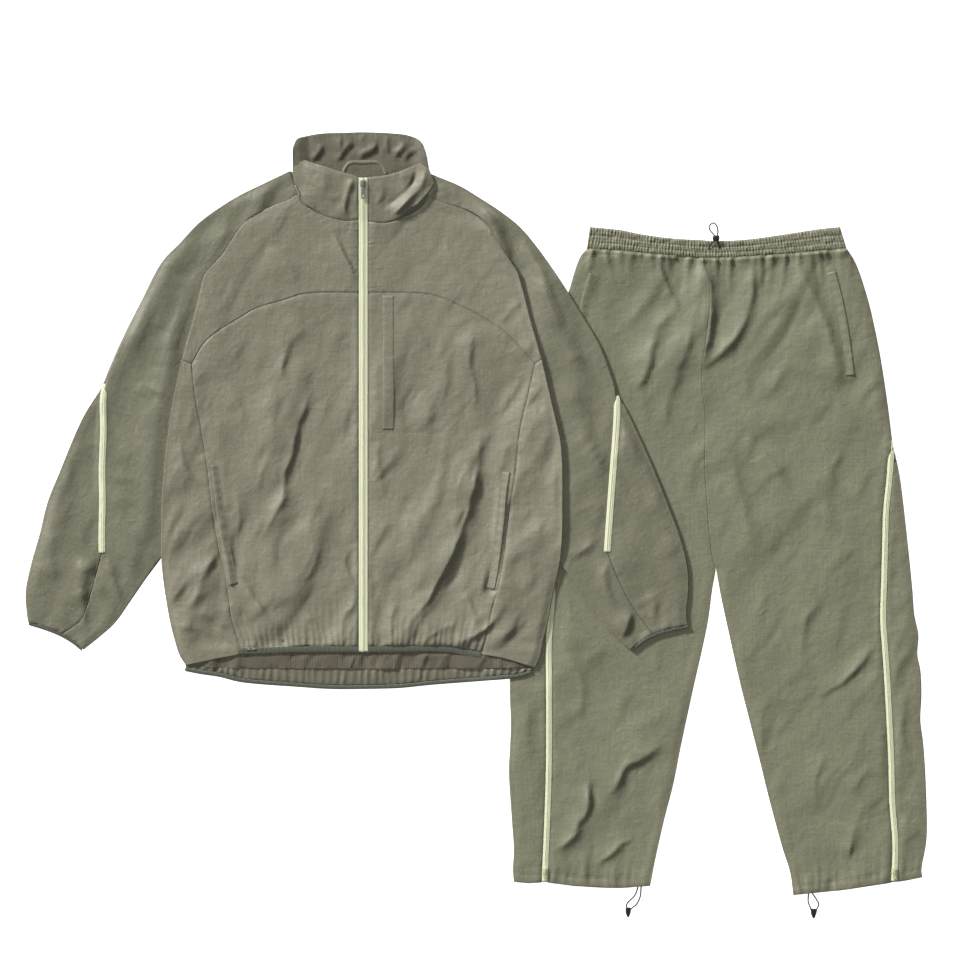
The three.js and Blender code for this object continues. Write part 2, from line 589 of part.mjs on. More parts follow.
function jacketSide(word) {
  const side = jacket[word];
  const addPanel = (name, edges, counts, top, colour, wall) => (
    panel('jacket', `${name}_${word}`, edges, counts, top, colour, wall)
  );
  const middle = side.sign * (ZIP_HALF + CLEAR);
  const yokeSeam = sample(side.yokeSeam, FRONT_COLUMNS);
  const sideSeam = sample(side.sideSeam, FRONT_ROWS);
  const edge = sample(side.bodyEdge, FRONT_ROWS);
  const hem = sample(side.hem, FRONT_COLUMNS);
  const aboveBinding = moved(hem, 0, HEM_BINDING - 3);
  const straight = (from, to, rows) => sample([[middle, from], [middle, (from + to) / 2], [middle, to]], rows);
  const bindingTop = join([[sideSeam[0][0], aboveBinding[0][1]]], aboveBinding);
  const seamAbove = [bindingTop[0], ...sideSeam.slice(1)];
  addPanel('front', {
    left: seamAbove,
    right: straight(aboveBinding[FRONT_COLUMNS][1], 549.3, FRONT_ROWS),
    bottom: bindingTop,
    top: yokeSeam,
  }, (j) => (j < 1 ? FRONT_GATHERS * 2 : FRONT_COLUMNS), (x, y, u) => (
    bodyHeight(x, y) + gathered(FRONT_GATHERS, u, 1) * (1 - smooth(10, 34, y))
  ), colours.jacketCloth);
  addPanel('front_side', {
    left: edge,
    right: sideSeam,
    bottom: sample(side.sideHem, 3),
    top: [edge[FRONT_ROWS], sideSeam[FRONT_ROWS]],
  }, () => 3, bodyHeight, colours.jacketCloth);
  const raglan = sample(side.raglan, RAGLAN_ROWS);
  const neck = sample(side.neck, FRONT_COLUMNS + 1);
  const yokeRows = RAGLAN_ROWS + 5;
  addPanel('front_yoke', {
    left: join(sample(side.yokeEdge, 5), raglan),
    right: straight(549.3, side.neck[side.neck.length - 1][1], yokeRows),
    bottom: join([edge[FRONT_ROWS]], [edge[FRONT_ROWS], ...yokeSeam]),
    top: neck,
  }, () => FRONT_COLUMNS + 1, bodyHeight, colours.jacketCloth);

  const stripe = sample(side.stripe, LOWER_ROWS - 6);
  const stripeTop = side.shoulder[side.shoulder.length - 1];
  const cuffShare = word === 'right' ? 0.62 : 0.6;
  const cuff = moved(sample(side.cuff, 10), 0, CUFF_BINDING);
  const atSeam = Math.round(10 * cuffShare);
  const under = sample([cuff[atSeam], ...side.underStripe.slice(1)], 5);
  const seam = join(under, stripe, [stripe[stripe.length - 1], stripeTop]);
  const inner = sample(side.sleeveInner, INNER_ROWS);
  inner[0] = cuff[10];
  const tuck = tuckLine(side, TUCK_ROWS);
  addPanel('sleeve_front', {
    left: join(seam, sample(reversed(side.shoulder), UPPER_ROWS)),
    right: join(inner, tuck, raglan),
    bottom: cuff.slice(atSeam),
    top: sample(side.neckSide, 4),
  }, (j) => (j < 1 ? CUFF_GATHERS : 6), (x, y, u, v) => (
    sleeveHeight(x, y) + gathered(CUFF_GATHERS / 2, u, 1) * (1 - smooth(0, 0.03, v))
  ), colours.sleeveCloth);
  const outer = sample(reversed(side.sleeveOuter), LOWER_ROWS);
  outer[0] = cuff[0];
  addPanel('sleeve_outer', {
    left: outer.slice(0, -1),
    right: seam.slice(0, LOWER_ROWS),
    bottom: cuff.slice(0, atSeam + 1),
    top: [outer[LOWER_ROWS - 1], seam[LOWER_ROWS - 1]],
  }, (j) => (j < 1 ? CUFF_GATHERS + 4 : 3), (x, y, u, v) => (
    sleeveHeight(x, y) + gathered(CUFF_GATHERS / 2 + 2, u, 1) * (1 - smooth(0, 0.06, v))
  ), colours.sleeveCloth);
  const backRaglan = sample(side.backRaglan, BACK_RAGLAN_ROWS);
  const backTuck = tuckLine(side, BACK_TUCK_ROWS);
  backTuck[BACK_TUCK_ROWS] = backRaglan[0];
  const backOuter = join(sample(reversed(side.sleeveOuter), 6), sample(reversed(side.shoulder), 8));
  backOuter[0] = cuff[0];
  const backInner = sample(side.sleeveInner, BACK_INNER_ROWS);
  backInner[0] = cuff[10];
  addPanel('sleeve_back', {
    left: backOuter,
    right: join(backInner, backTuck, backRaglan),
    bottom: cuff,
    top: [backOuter[14], backRaglan[BACK_RAGLAN_ROWS]],
  }, (j) => (j < 1 ? 10 : 6), (x, y) => BACK_TOP + lift(x, y), colours.sleeveCloth);
  const binding = (name, top, wall) => addPanel(name, {
    left: [side.cuff[0], cuff[0]],
    right: [side.cuff[4], cuff[10]],
    bottom: sample(side.cuff, 10),
    top: cuff,
  }, () => 10, top, colours.binding, wall);
  binding('cuff_binding_front', (x, y) => EDGE_TOP + CLEAR + lift(x, y));
  binding('cuff_binding_back', (x, y) => BACK_TOP + lift(x, y));
  addPanel('hem_binding_front', {
    left: [hem[0], aboveBinding[0]],
    right: [hem[FRONT_COLUMNS], aboveBinding[FRONT_COLUMNS]].map(([, y]) => [middle, y]),
    bottom: hem,
    top: aboveBinding,
  }, () => FRONT_COLUMNS, (x, y) => BODY_TOP + CLEAR + lift(x, y), colours.binding);
  addPanel('collar_front', {
    left: sample(side.collarSide, 4),
    right: straight(side.neck[side.neck.length - 1][1], 725.2, 4),
    bottom: neck,
    top: sample(side.collarEdge, FRONT_COLUMNS + 1),
  }, () => FRONT_COLUMNS + 1, collarHeight, colours.jacketCloth, () => COLLAR_WALL);

  trim('jacket', `pocket_welt_${word}`, sample(side.welt, 10), 6, [`front_${word}`, `front_side_${word}`],
    colours.jacketCloth, TRIM);
  trim('jacket', `sleeve_stripe_${word}`, stripe, 5.3, [`sleeve_front_${word}`, `sleeve_outer_${word}`],
    colours.tape, TAPE, 0.4);
}

jacketSide('right');
jacketSide('left');

// The back lies on the surface, under everything else of the jacket
function bodyBack() {
  const upTo = (side) => {
    const low = sample(side.bodyEdge.slice(0, 6), 5);
    const tuck = tuckLine(side, BACK_TUCK_ROWS);
    tuck[BACK_TUCK_ROWS] = side.backRaglan[0];
    return join([...low, tuck[1]], tuck.slice(1), sample(side.backRaglan, BACK_RAGLAN_ROWS));
  };
  const [left, right] = [upTo(jacket.right), upTo(jacket.left)];
  const bandTop = sample(jacket.bandTop, 12);
  left[0] = bandTop[0];
  right[0] = bandTop[12];
  const neck = sample([left[left.length - 1], [0, 727], right[right.length - 1]], 12);
  panel('jacket', 'body_back', { left, right, bottom: bandTop, top: neck }, () => BACK_SHARES, (x, y) => (
    BACK_TOP + lift(x, y)
  ), colours.jacketCloth);
  const hem = sample(jacket.backHem, 12);
  const bindingTop = moved(hem, 0, 6).map(([x, y], i) => [x, i % 12 === 0 ? y - 2 : y]);
  panel('jacket', 'hem_casing_back', {
    left: [bindingTop[0], bandTop[0]],
    right: [bindingTop[12], bandTop[12]],
    bottom: bindingTop,
    top: bandTop,
  }, () => 80, (x, y, u) => 1.3 + gathered(40, u, 0.9) + lift(x, y), colours.jacketCloth, (z, x, y) => (
    z - lift(x, y)
  ));
  panel('jacket', 'hem_binding_back', {
    left: [hem[0], bindingTop[0]],
    right: [hem[12], bindingTop[12]],
    bottom: hem,
    top: bindingTop,
  }, () => 24, (x, y) => 2.2 + lift(x, y), colours.binding, () => 2.2);
  const liningEnd = 212;
  panel('jacket', 'mesh_lining', {
    left: [[-liningEnd, -22], [-liningEnd, 18]],
    right: [[liningEnd, -22], [liningEnd, 18]],
    bottom: sample([[-liningEnd, -22], [0, -25], [liningEnd, -22]], 12),
    top: [[-liningEnd, 18], [liningEnd, 18]],
  }, () => 14, (x, y) => highestOn(['body_back', 'hem_casing_back'], x, y, 9) + CLEAR + TRIM, colours.mesh,
  () => TRIM);
}

bodyBack();

// The back of the collar lies on the surface and curls up at its sides to meet the front halves
function collarBack() {
  const base = sample(jacket.backNeck, 14);
  const edge = sample(jacket.collarBack, 14);
  const rows = 3;
  const side = (from, to) => Array.from({ length: rows + 1 }, (_, j) => [
    mix(from[0], to[0], j / rows), mix(from[1], to[1], j / rows),
  ]);
  const rise = COLLAR_SIDE - COLLAR_WALL - CLEAR - COLLAR_WALL;
  panel('jacket', 'collar_back', {
    left: side([base[0][0], base[0][1] + 6], edge[0]),
    right: side([base[14][0] - 0.5, base[14][1] + 6], edge[14]),
    bottom: moved(base, 0, 6),
    top: edge,
  }, () => 14, (x) => COLLAR_WALL + rise * smooth(78, 97, Math.abs(x + 3)), colours.jacketCloth,
  () => COLLAR_WALL);
}

collarBack();

// A round tube along a line of points
function tube(points, diameter, steps) {
  const curve = new THREE.CatmullRomCurve3(points.map((p) => new THREE.Vector3(...p)), false, 'centripetal');
  const round = new THREE.Shape(Array.from({ length: 8 }, (_, i) => {
    const turn = (i / 8) * 2 * Math.PI;
    return new THREE.Vector2(Math.cos(turn), Math.sin(turn)).multiplyScalar(diameter / 2);
  }));
  return new THREE.ExtrudeGeometry(round, { extrudePath: curve, steps, bevelEnabled: false });
}

function block(wide, long, tall, x, y, z) {
  return new THREE.BoxGeometry(wide, long, tall).translate(x, y, z);
}

// Joins and cuts of closed meshes
function toSolid(geometry) {
  const bare = geometry.clone();
  bare.deleteAttribute('normal');
  bare.deleteAttribute('uv');
  const whole = mergeVertices(bare, 1e-4);
  return new solids.Manifold(new solids.Mesh({
    numProp: 3,
    vertProperties: new Float32Array(whole.attributes.position.array),
    triVerts: new Uint32Array(whole.index.array),
  }));
}

function fromSolid(solid) {
  const mesh = solid.getMesh();
  const geometry = new THREE.BufferGeometry();
  geometry.setAttribute('position', new THREE.BufferAttribute(mesh.vertProperties, 3));
  geometry.setIndex(new THREE.BufferAttribute(mesh.triVerts, 1));
  return geometry;
}

const united = (...geometries) => geometries.map(toSolid).reduce((all, next) => all.add(next));

// The hanger loop: a band across the back neck with two slanting arms
function hangerLoop() {
  const level = COLLAR_WALL + CLEAR;
  const band = [[-30, 741], [-22, 752], [26, 752], [34, 740], [27, 739], [22, 745.5], [-18, 745.5], [-24, 740]];
  const outline = new THREE.Shape(band.map(([x, y]) => new THREE.Vector2(x, y)));
  const geometry = new THREE.ExtrudeGeometry(outline, { depth: CLOTH, bevelEnabled: false, steps: 1 });
  add('jacket', 'hanger_loop', geometry.translate(0, 0, level), colours.sleeveCloth);
}

hangerLoop();

// The chest pocket's placket lies on the left front beside the zip
function chestPlacket() {
  const line = sample([[38.2, 340], [38.2, 440], [38.2, 545]], 10);
  trim('jacket', 'chest_placket', line, 8.4, ['front_left'], colours.jacketCloth, TRIM);
}

chestPlacket();

// The front zip: two tapes that meet in the middle, closed up to the collar
function frontZip() {
  const bodyRows = 9;
  const collarRows = 3;
  const low = Array.from({ length: bodyRows }, (_, j) => mix(0.5, ZIP_NECK - 20, j / (bodyRows - 1)));
  const high = Array.from({ length: collarRows + 1 }, (_, j) => mix(ZIP_NECK, ZIP_END - 0.5, j / collarRows));
  const heights = [...low, ...high];
  [['right', -1], ['left', 1]].forEach(([word, sign]) => {
    const shares = [0.02, 0.14, 1];
    const plan = heights.map((y, j) => shares.map((share) => ({
      x: sign * share * ZIP_HALF,
      y,
      u: share,
      v: j / (heights.length - 1),
    })));
    const top = (x, y, u) => zipLevel(y) + (u < 0.1 ? -0.3 : 0.5);
    add('jacket', `front_zip_tape_${word}`, wallOn(plan, top, () => TAPE).geometry, colours.tape);
  });
}

frontZip();

// A zip slider with a bridge, and a pull tab whose crossbar turns under the bridge
const slider = {
  plate: [9, 11, 2], // width, length, thickness
  bridge: [2, 8.4, 3.4], // width, length, height above the plate
  opening: [5.8, 2.3], // length and height under the bridge
  axis: 1.2, // height of the crossbar above the plate
  bar: 1.2, // diameter of the crossbar
};

function sliderSolid() {
  const [wide, long, thick] = slider.plate;
  const [bridgeWide, bridgeLong, bridgeTall] = slider.bridge;
  const [openLong, openTall] = slider.opening;
  const body = block(wide, long, thick, 0, 0, -thick / 2);
  const arch = block(bridgeWide, bridgeLong, bridgeTall + 0.5, 0, 0, bridgeTall / 2 - 0.25);
  const hole = block(bridgeWide + 2, openLong, openTall, 0, 0, openTall / 2);
  return fromSolid(united(body, arch).subtract(toSolid(hole)));
}

// The tab lies along -Y from its crossbar, which is at the origin
function pullSolid({ long, wide, hole }) {
  const arm = 1.4;
  const inner = 1.6;
  const round = slider.bar / 2;
  const bar = new THREE.CylinderGeometry(round, round, 2 * (inner + arm), 12).rotateZ(Math.PI / 2);
  const arms = [-1, 1].map((sign) => block(arm, 5.6, slider.bar, sign * (inner + arm / 2), -2.8, 0));
  const tab = block(wide, long, slider.bar, 0, -5 - long / 2, 0);
  const solid = united(bar, ...arms, tab);
  if (!hole) return fromSolid(solid);
  return fromSolid(solid.subtract(toSolid(block(hole[0], hole[1], 4, 0, -5 - hole[2], 0))));
}

// The slider lies along the zip, turned up by its slope, with its pull tab at rest on it
function fitZip(garment, [sliderName, pullName], [x, y, z], slope, pull, roughness) {
  const fitting = new THREE.Group();
  fitting.position.set(x, y, z);
  fitting.rotation.x = slope;
  fitting.add(add(garment, sliderName, sliderSolid(), colours.metal, roughness, 0.9));
  const tab = add(garment, pullName, pullSolid(pull), colours.metal, roughness, 0.9);
  tab.position.z = slider.axis;
  fitting.add(tab);
  garments[garment].add(fitting);
}

const SLIDER_AT = 715; // how far up the front zip its slider is closed
const zipSlope = Math.atan2(COLLAR_TOP - BODY_TOP - NECK_RISE, ZIP_END - ZIP_NECK);
const sliderLevel = zipLevel(SLIDER_AT) + 0.5 + REST + slider.plate[2];
const frontPull = { long: 18, wide: 6, hole: [2.4, 4, 13] };
const sliderPlace = [0, SLIDER_AT, sliderLevel];
fitZip('jacket', ['front_zip_slider', 'front_zip_pull'], sliderPlace, zipSlope, frontPull, 0.35);

// The trousers. Where the jacket covers them they lie flatter.
const jacketLeftOutline = moved([
  ...jacket.left.bodyEdge.slice(0, 6), ...reversed(jacket.left.sleeveInner), ...reversed(jacket.left.cuff),
  ...reversed(jacket.left.sleeveOuter), ...reversed(jacket.left.shoulder), [0, 700], [0, -23],
], gapX, gapY);

function covered(x, y) {
  const { far } = nearest([...jacketLeftOutline, jacketLeftOutline[0]], x, y);
  return smooth(-40, -14, inside(jacketLeftOutline, x, y) ? far : -far);
}

function legHeight(x, y) {
  const side = trousers[x < 0 ? 'right' : 'left'];
  const edge = nearest([...side.outerLow, ...side.outerTop], x, y).far;
  const inner = y < 0 ? nearest(side.inner, x, y).far : 1000;
  const silhouette = Math.min(edge, inner, Math.max(y + 500, 0) + 4);
  const calm = smooth(6, 24, silhouette) * smooth(6, 20, nearest(side.zip, x, y).far) * smooth(478, 455, y)
    * smooth(4, 20, nearest(side.pocket, x, y).far) * smooth(3, 16, nearest(trousers.centreSeam, x, y).far);
  const puffed = mix(EDGE_TOP, LEG_TOP, smooth(0, ROLL, silhouette)) + foldHeight(legFolds, x, y) * calm;
  return mix(puffed, COVERED_TOP, covered(x, y));
}

const LEG_ROWS = 25;
const LEG_COLUMNS = 8;
const ZIP_ROWS = 17; // rows of a leg from its hem to the top of the leg zip
const INSEAM_ROWS = 13;
const WAIST_GATHERS = 58;
const LEG_GATHERS = 10; // gathers in each leg's hem
const LEG_SLIDER_UP = 16; // how far above the hem a leg zip's slider is closed
const legPull = { long: 6, wide: 5, hole: [2.6, 2.6, 3] };

function trouserSide(word) {
  const side = trousers[word];
  const { sign } = side;
  const zipLine = sample(side.zip, ZIP_ROWS);
  const inward = beside(zipLine, sign * LEG_ZIP_HALF + sign * 0.2);
  const outward = beside(zipLine, -sign * LEG_ZIP_HALF - sign * 0.2);
  const hemAt = (x) => [x, across(side.hem.map(([a, b]) => [b, a]), x)];
  const inseam = sample(side.inner, INSEAM_ROWS);
  const outerTop = sample(side.outerTop, LEG_ROWS - ZIP_ROWS);
  const hemLine = (from, to, count) => (
    Array.from({ length: count + 1 }, (_, i) => hemAt(mix(from, to, i / count)))
  );
  const hemInner = hemLine(inward[0][0], side.inner[0][0], LEG_COLUMNS);
  const left = join([hemInner[0], ...inward.slice(1)], [inward[ZIP_ROWS], ...outerTop.slice(1)]);
  inseam[0] = hemInner[LEG_COLUMNS];
  panel('trousers', `leg_front_${word}`, {
    left,
    right: join(inseam, sample(trousers.centreSeam, LEG_ROWS - INSEAM_ROWS)),
    bottom: hemInner,
    top: sample(side.waist, LEG_COLUMNS),
  }, (j, rows) => {
    if (j < 1) return LEG_GATHERS * 2;
    return j === rows ? WAIST_GATHERS : LEG_COLUMNS;
  }, (x, y, u) => {
    const waist = gathered(WAIST_GATHERS / 2, u, 0.9) * smooth(462, 474, y) * (1 - covered(x, y));
    const low = gathered(LEG_GATHERS, u, 1) * (1 - smooth(-478, -462, y));
    return legHeight(x, y) + waist + low;
  }, colours.trouserCloth);
  const sideRows = ZIP_ROWS - 1;
  const outer = sample(side.outerLow, sideRows);
  const hemSide = hemLine(side.outerLow[0][0], outward[0][0], 4);
  outer[0] = hemSide[0];
  panel('trousers', `leg_side_${word}`, {
    left: outer,
    right: [hemSide[4], ...outward.slice(1, sideRows + 1)],
    bottom: hemSide,
    top: [outer[sideRows], outward[sideRows]],
  }, (j) => (j < 1 ? 8 : 2), legHeight, colours.trouserCloth);
  panel('trousers', `leg_back_${word}`, {
    left: join(sample(side.outerLow, 8), [outer[sideRows], side.outerTop[0]], sample(side.outerTop, 4)),
    right: join(sample(side.inner, 7), sample(trousers.centreSeam, 6)),
    bottom: sample(side.hem, 3),
    top: sample(side.waist, 12),
  }, (j, rows) => (j === rows ? 12 : 3), () => BACK_TOP, colours.trouserCloth);

  const shares = [0, 0.44, 0.5, 0.56, 1];
  const [one, two] = [beside(zipLine, LEG_ZIP_HALF - 0.2), beside(zipLine, -LEG_ZIP_HALF + 0.2)];
  const plan = zipLine.map((_, j) => shares.map((u) => ({
    x: mix(one[j][0], two[j][0], u),
    y: mix(one[j][1], two[j][1], u),
    u,
    v: j / ZIP_ROWS,
  })));
  const level = (x, y) => mix(LEG_TOP, COVERED_TOP, covered(x, y));
  add('trousers', `leg_zip_${word}`, wallOn(plan, (x, y, u) => (
    level(x, y) + (u === 0.5 ? 0 : TAPE_RISE)
  ), () => TAPE).geometry, colours.tape);
  const end = zipLine[0];
  const place = [end[0], end[1] + LEG_SLIDER_UP, LEG_TOP + TAPE_RISE + REST + slider.plate[2]];
  fitZip('trousers', [`leg_zip_slider_${word}`, `leg_zip_pull_${word}`], place, 0, legPull, 0.5);
  trim('trousers', `leg_pocket_welt_${word}`, sample(side.pocket, 10), 6.6, [`leg_front_${word}`],
    colours.trouserCloth, TRIM);
}

trouserSide('right');
trouserSide('left');

function waistband() {
  const top = sample(trousers.waistTop, 24);
  const low = join(sample(trousers.right.waist, 12), sample(reversed(trousers.left.waist), 12));
  const side = (i) => [0, 1].map((t) => [mix(low[i][0], top[i][0], t), mix(low[i][1], top[i][1], t)]);
  const edges = { left: side(0), right: side(24), bottom: low, top };
  panel('trousers', 'waistband_front', edges, () => WAIST_GATHERS * 2, (x, y, u) => (
    LEG_TOP + gathered(WAIST_GATHERS, u, 1)
  ), colours.trouserCloth);
  panel('trousers', 'waistband_back', edges, () => 24, () => 2.5, colours.trouserCloth, () => 2.5);
}

waistband();

// Drawcords. Columns of each route: x, y, z.
const LOOP = 8.6; // height of the waist cord beside its stopper
const cords = {
  waist_cord: [
    [-12.2, 487.5, 6.3], [-11.4, 489.5, 8], [-8, 495, LOOP], [-3.2, 500.5, 10.4], [-2.6, 507, 10.4],
    [-7, 513, LOOP], [-10.7, 518.7, 8], [-9, 525, 8], [-4, 527.5, 8], [0.6, 523, 8], [2.4, 515, LOOP],
    [1.6, 507, 10.4], [1.8, 500.5, 10.4], [3.6, 495, LOOP], [4.7, 491, 8], [5, 489, 6.3],
  ],
  hem_cord_right: [
    [-119.3, -487.7, 1.4], [-124, -500, 1.4], [-136.2, -513.6, 1.4], [-137.5, -521, 2.6],
    [-136.6, -529, 2.8], [-132.6, -529, 2.8], [-130.5, -521.7, 2.6], [-122.4, -515.1, 1.4],
    [-116.3, -503, 1.4], [-114.5, -487.4, 1.4],
  ],
  hem_cord_left: [
    [141.5, -498.2, 1.4], [141, -511, 1.4], [145, -521.7, 2.6], [147, -530.5, 2.8],
    [151.2, -530.5, 2.8], [153.6, -522.4, 2.6], [157, -514, 1.4], [153, -506, 1.4], [147.5, -497.6, 1.4],
  ],
};

const cordSteps = (name) => (name === 'waist_cord' ? 28 : 20);

// A stopper with a bore for each strand that runs through it
function stopper(name, [wide, long, tall], [x, y, z], turn, cordName) {
  const rounded = new THREE.SphereGeometry(0.5, 12, 6).scale(wide, long, tall).rotateZ(turn).translate(x, y, z);
  const bores = toSolid(tube(cords[cordName], CORD + 0.8, cordSteps(cordName)));
  add('trousers', name, fromSolid(toSolid(rounded).subtract(bores)), colours.cord, 0.5);
}

function drawcords() {
  Object.entries(cords).forEach(([name, route]) => {
    add('trousers', name, tube(route, CORD, cordSteps(name)), colours.cord, 0.8);
  });
  stopper('waist_stopper', [13, 9, 8], [-0.6, 503.8, 10.6], 0, 'waist_cord');
  stopper('hem_cord_end_right', [9, 15, 5.4], [-134.6, -526.4, 2.8], 0, 'hem_cord_right');
  stopper('hem_cord_end_left', [9, 15, 5.4], [149.2, -528.2, 2.8], 0, 'hem_cord_left');
}

drawcords();

// Both garments in one group, whose origin is in the middle under the cloth
const tracksuit = new THREE.Group();
garments.trousers.position.set(-gapX, -gapY, 0);
tracksuit.add(garments.jacket, garments.trousers);
tracksuit.updateMatrixWorld(true);
const bounds = new THREE.Box3();
tracksuit.traverse((node) => {
  if (node.isMesh && !/cord|stopper/.test(node.name)) bounds.expandByObject(node, true);
});
const centre = bounds.getCenter(new THREE.Vector3());
tracksuit.position.set(-centre.x, -centre.y, -bounds.min.z);

export default tracksuit;
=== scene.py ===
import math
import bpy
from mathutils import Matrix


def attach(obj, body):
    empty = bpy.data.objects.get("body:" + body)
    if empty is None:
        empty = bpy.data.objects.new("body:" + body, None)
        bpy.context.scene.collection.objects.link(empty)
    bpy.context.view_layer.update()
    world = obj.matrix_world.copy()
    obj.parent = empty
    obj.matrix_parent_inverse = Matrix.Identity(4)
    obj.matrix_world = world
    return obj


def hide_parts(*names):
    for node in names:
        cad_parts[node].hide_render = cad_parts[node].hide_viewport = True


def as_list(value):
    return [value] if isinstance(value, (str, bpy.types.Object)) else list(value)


bl_info = {
    "name": "Tracksuit laid flat",
    "version": (1, 0, 0),
    "blender": (4, 5, 0),
    "location": "View3D > Sidebar > Tracksuit",
    "description": "A zip jacket lying partly over its trousers, with cloth, zips, cords and sewing",
    "category": "Object",
}

import bmesh
import bpy
import numpy as np
from mathutils import Matrix, Vector
from mathutils.bvhtree import BVHTree

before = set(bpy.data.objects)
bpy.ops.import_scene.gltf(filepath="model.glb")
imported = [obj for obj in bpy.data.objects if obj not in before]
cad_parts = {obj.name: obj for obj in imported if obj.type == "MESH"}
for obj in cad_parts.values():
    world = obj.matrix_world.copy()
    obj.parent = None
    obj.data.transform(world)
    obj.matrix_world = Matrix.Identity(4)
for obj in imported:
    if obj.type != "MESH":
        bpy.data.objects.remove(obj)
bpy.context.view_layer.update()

# Tables and working sizes are in millimetres, and meshes are made in metres
MM = 0.001
GARMENTS = "garments"
JACKET_AT = (-172.752, -211.662)  # the middle of the jacket's front hem
TROUSERS_AT = (366.548, -83.162)  # the crotch of the trousers
GARMENT_AT = {"jacket": JACKET_AT, "trousers": TROUSERS_AT}
JACKET_FROM_TROUSERS = (-539.3, -128.5)

# The driving sizes, as in the part
EDGE_TOP = 3.9
BODY_TOP = 6.6
LIP_TOP = 6.0
SLEEVE_TOP = 5.0
TUCK_TOP = 3.9
TUCK = 15.0
LEG_TOP = 5.0
COVERED_TOP = 3.5
JACKET_LIFT = 5.5
ROLL = 12.0
COLLAR_TOP = 16.0
COLLAR_SIDE = 9.0
NECK_RISE = 0.6
ZIP_HALF = 6.9
ZIP_NECK = 660.0
ZIP_END = 725.0
LEG_ZIP_HALF = 4.8
SLIDER_AT = 715.0  # up the front zip
LEG_SLIDER_UP = 16.0  # over the lower end of a leg's zip
SLIDER_RISE = 2.4  # the slider's middle over its zip
CLEAR = 0.3
YOKE_AT_ZIP = 549.3  # where the yoke seam meets the zip
COLLAR_AT_ZIP = 725.2  # the top of the collar at the zip
LEG_UNDER_JACKET = ["leg_front_right", "leg_side_right"]
CUFF_BINDING = 5.0
HEM_BINDING = 12.0
BACK_BINDING = 6.0
FRONT_FLOOR = 2.2  # over the back layer
ROLLED_TO = 0.3  # how high over the surface a folded edge ends
LOWEST_UNDER = 0.02  # over the surface, for the cloth's lower face
LOWEST_TOP = 0.05  # and for its upper face
BACK_TOP = 0.75  # the back layer's upper face
LEG_HEM = 14.0  # how far over the leg's edge the hem is sewn
GATHER_EASE = 1.25  # a gathered band's cut length over its gathered one
CREASE_SCALE = 2.1  # how much taller the creases stand than their table says
SIDES = ("right", "left")
FINE = 8  # points on an outline for each row of the part's solid

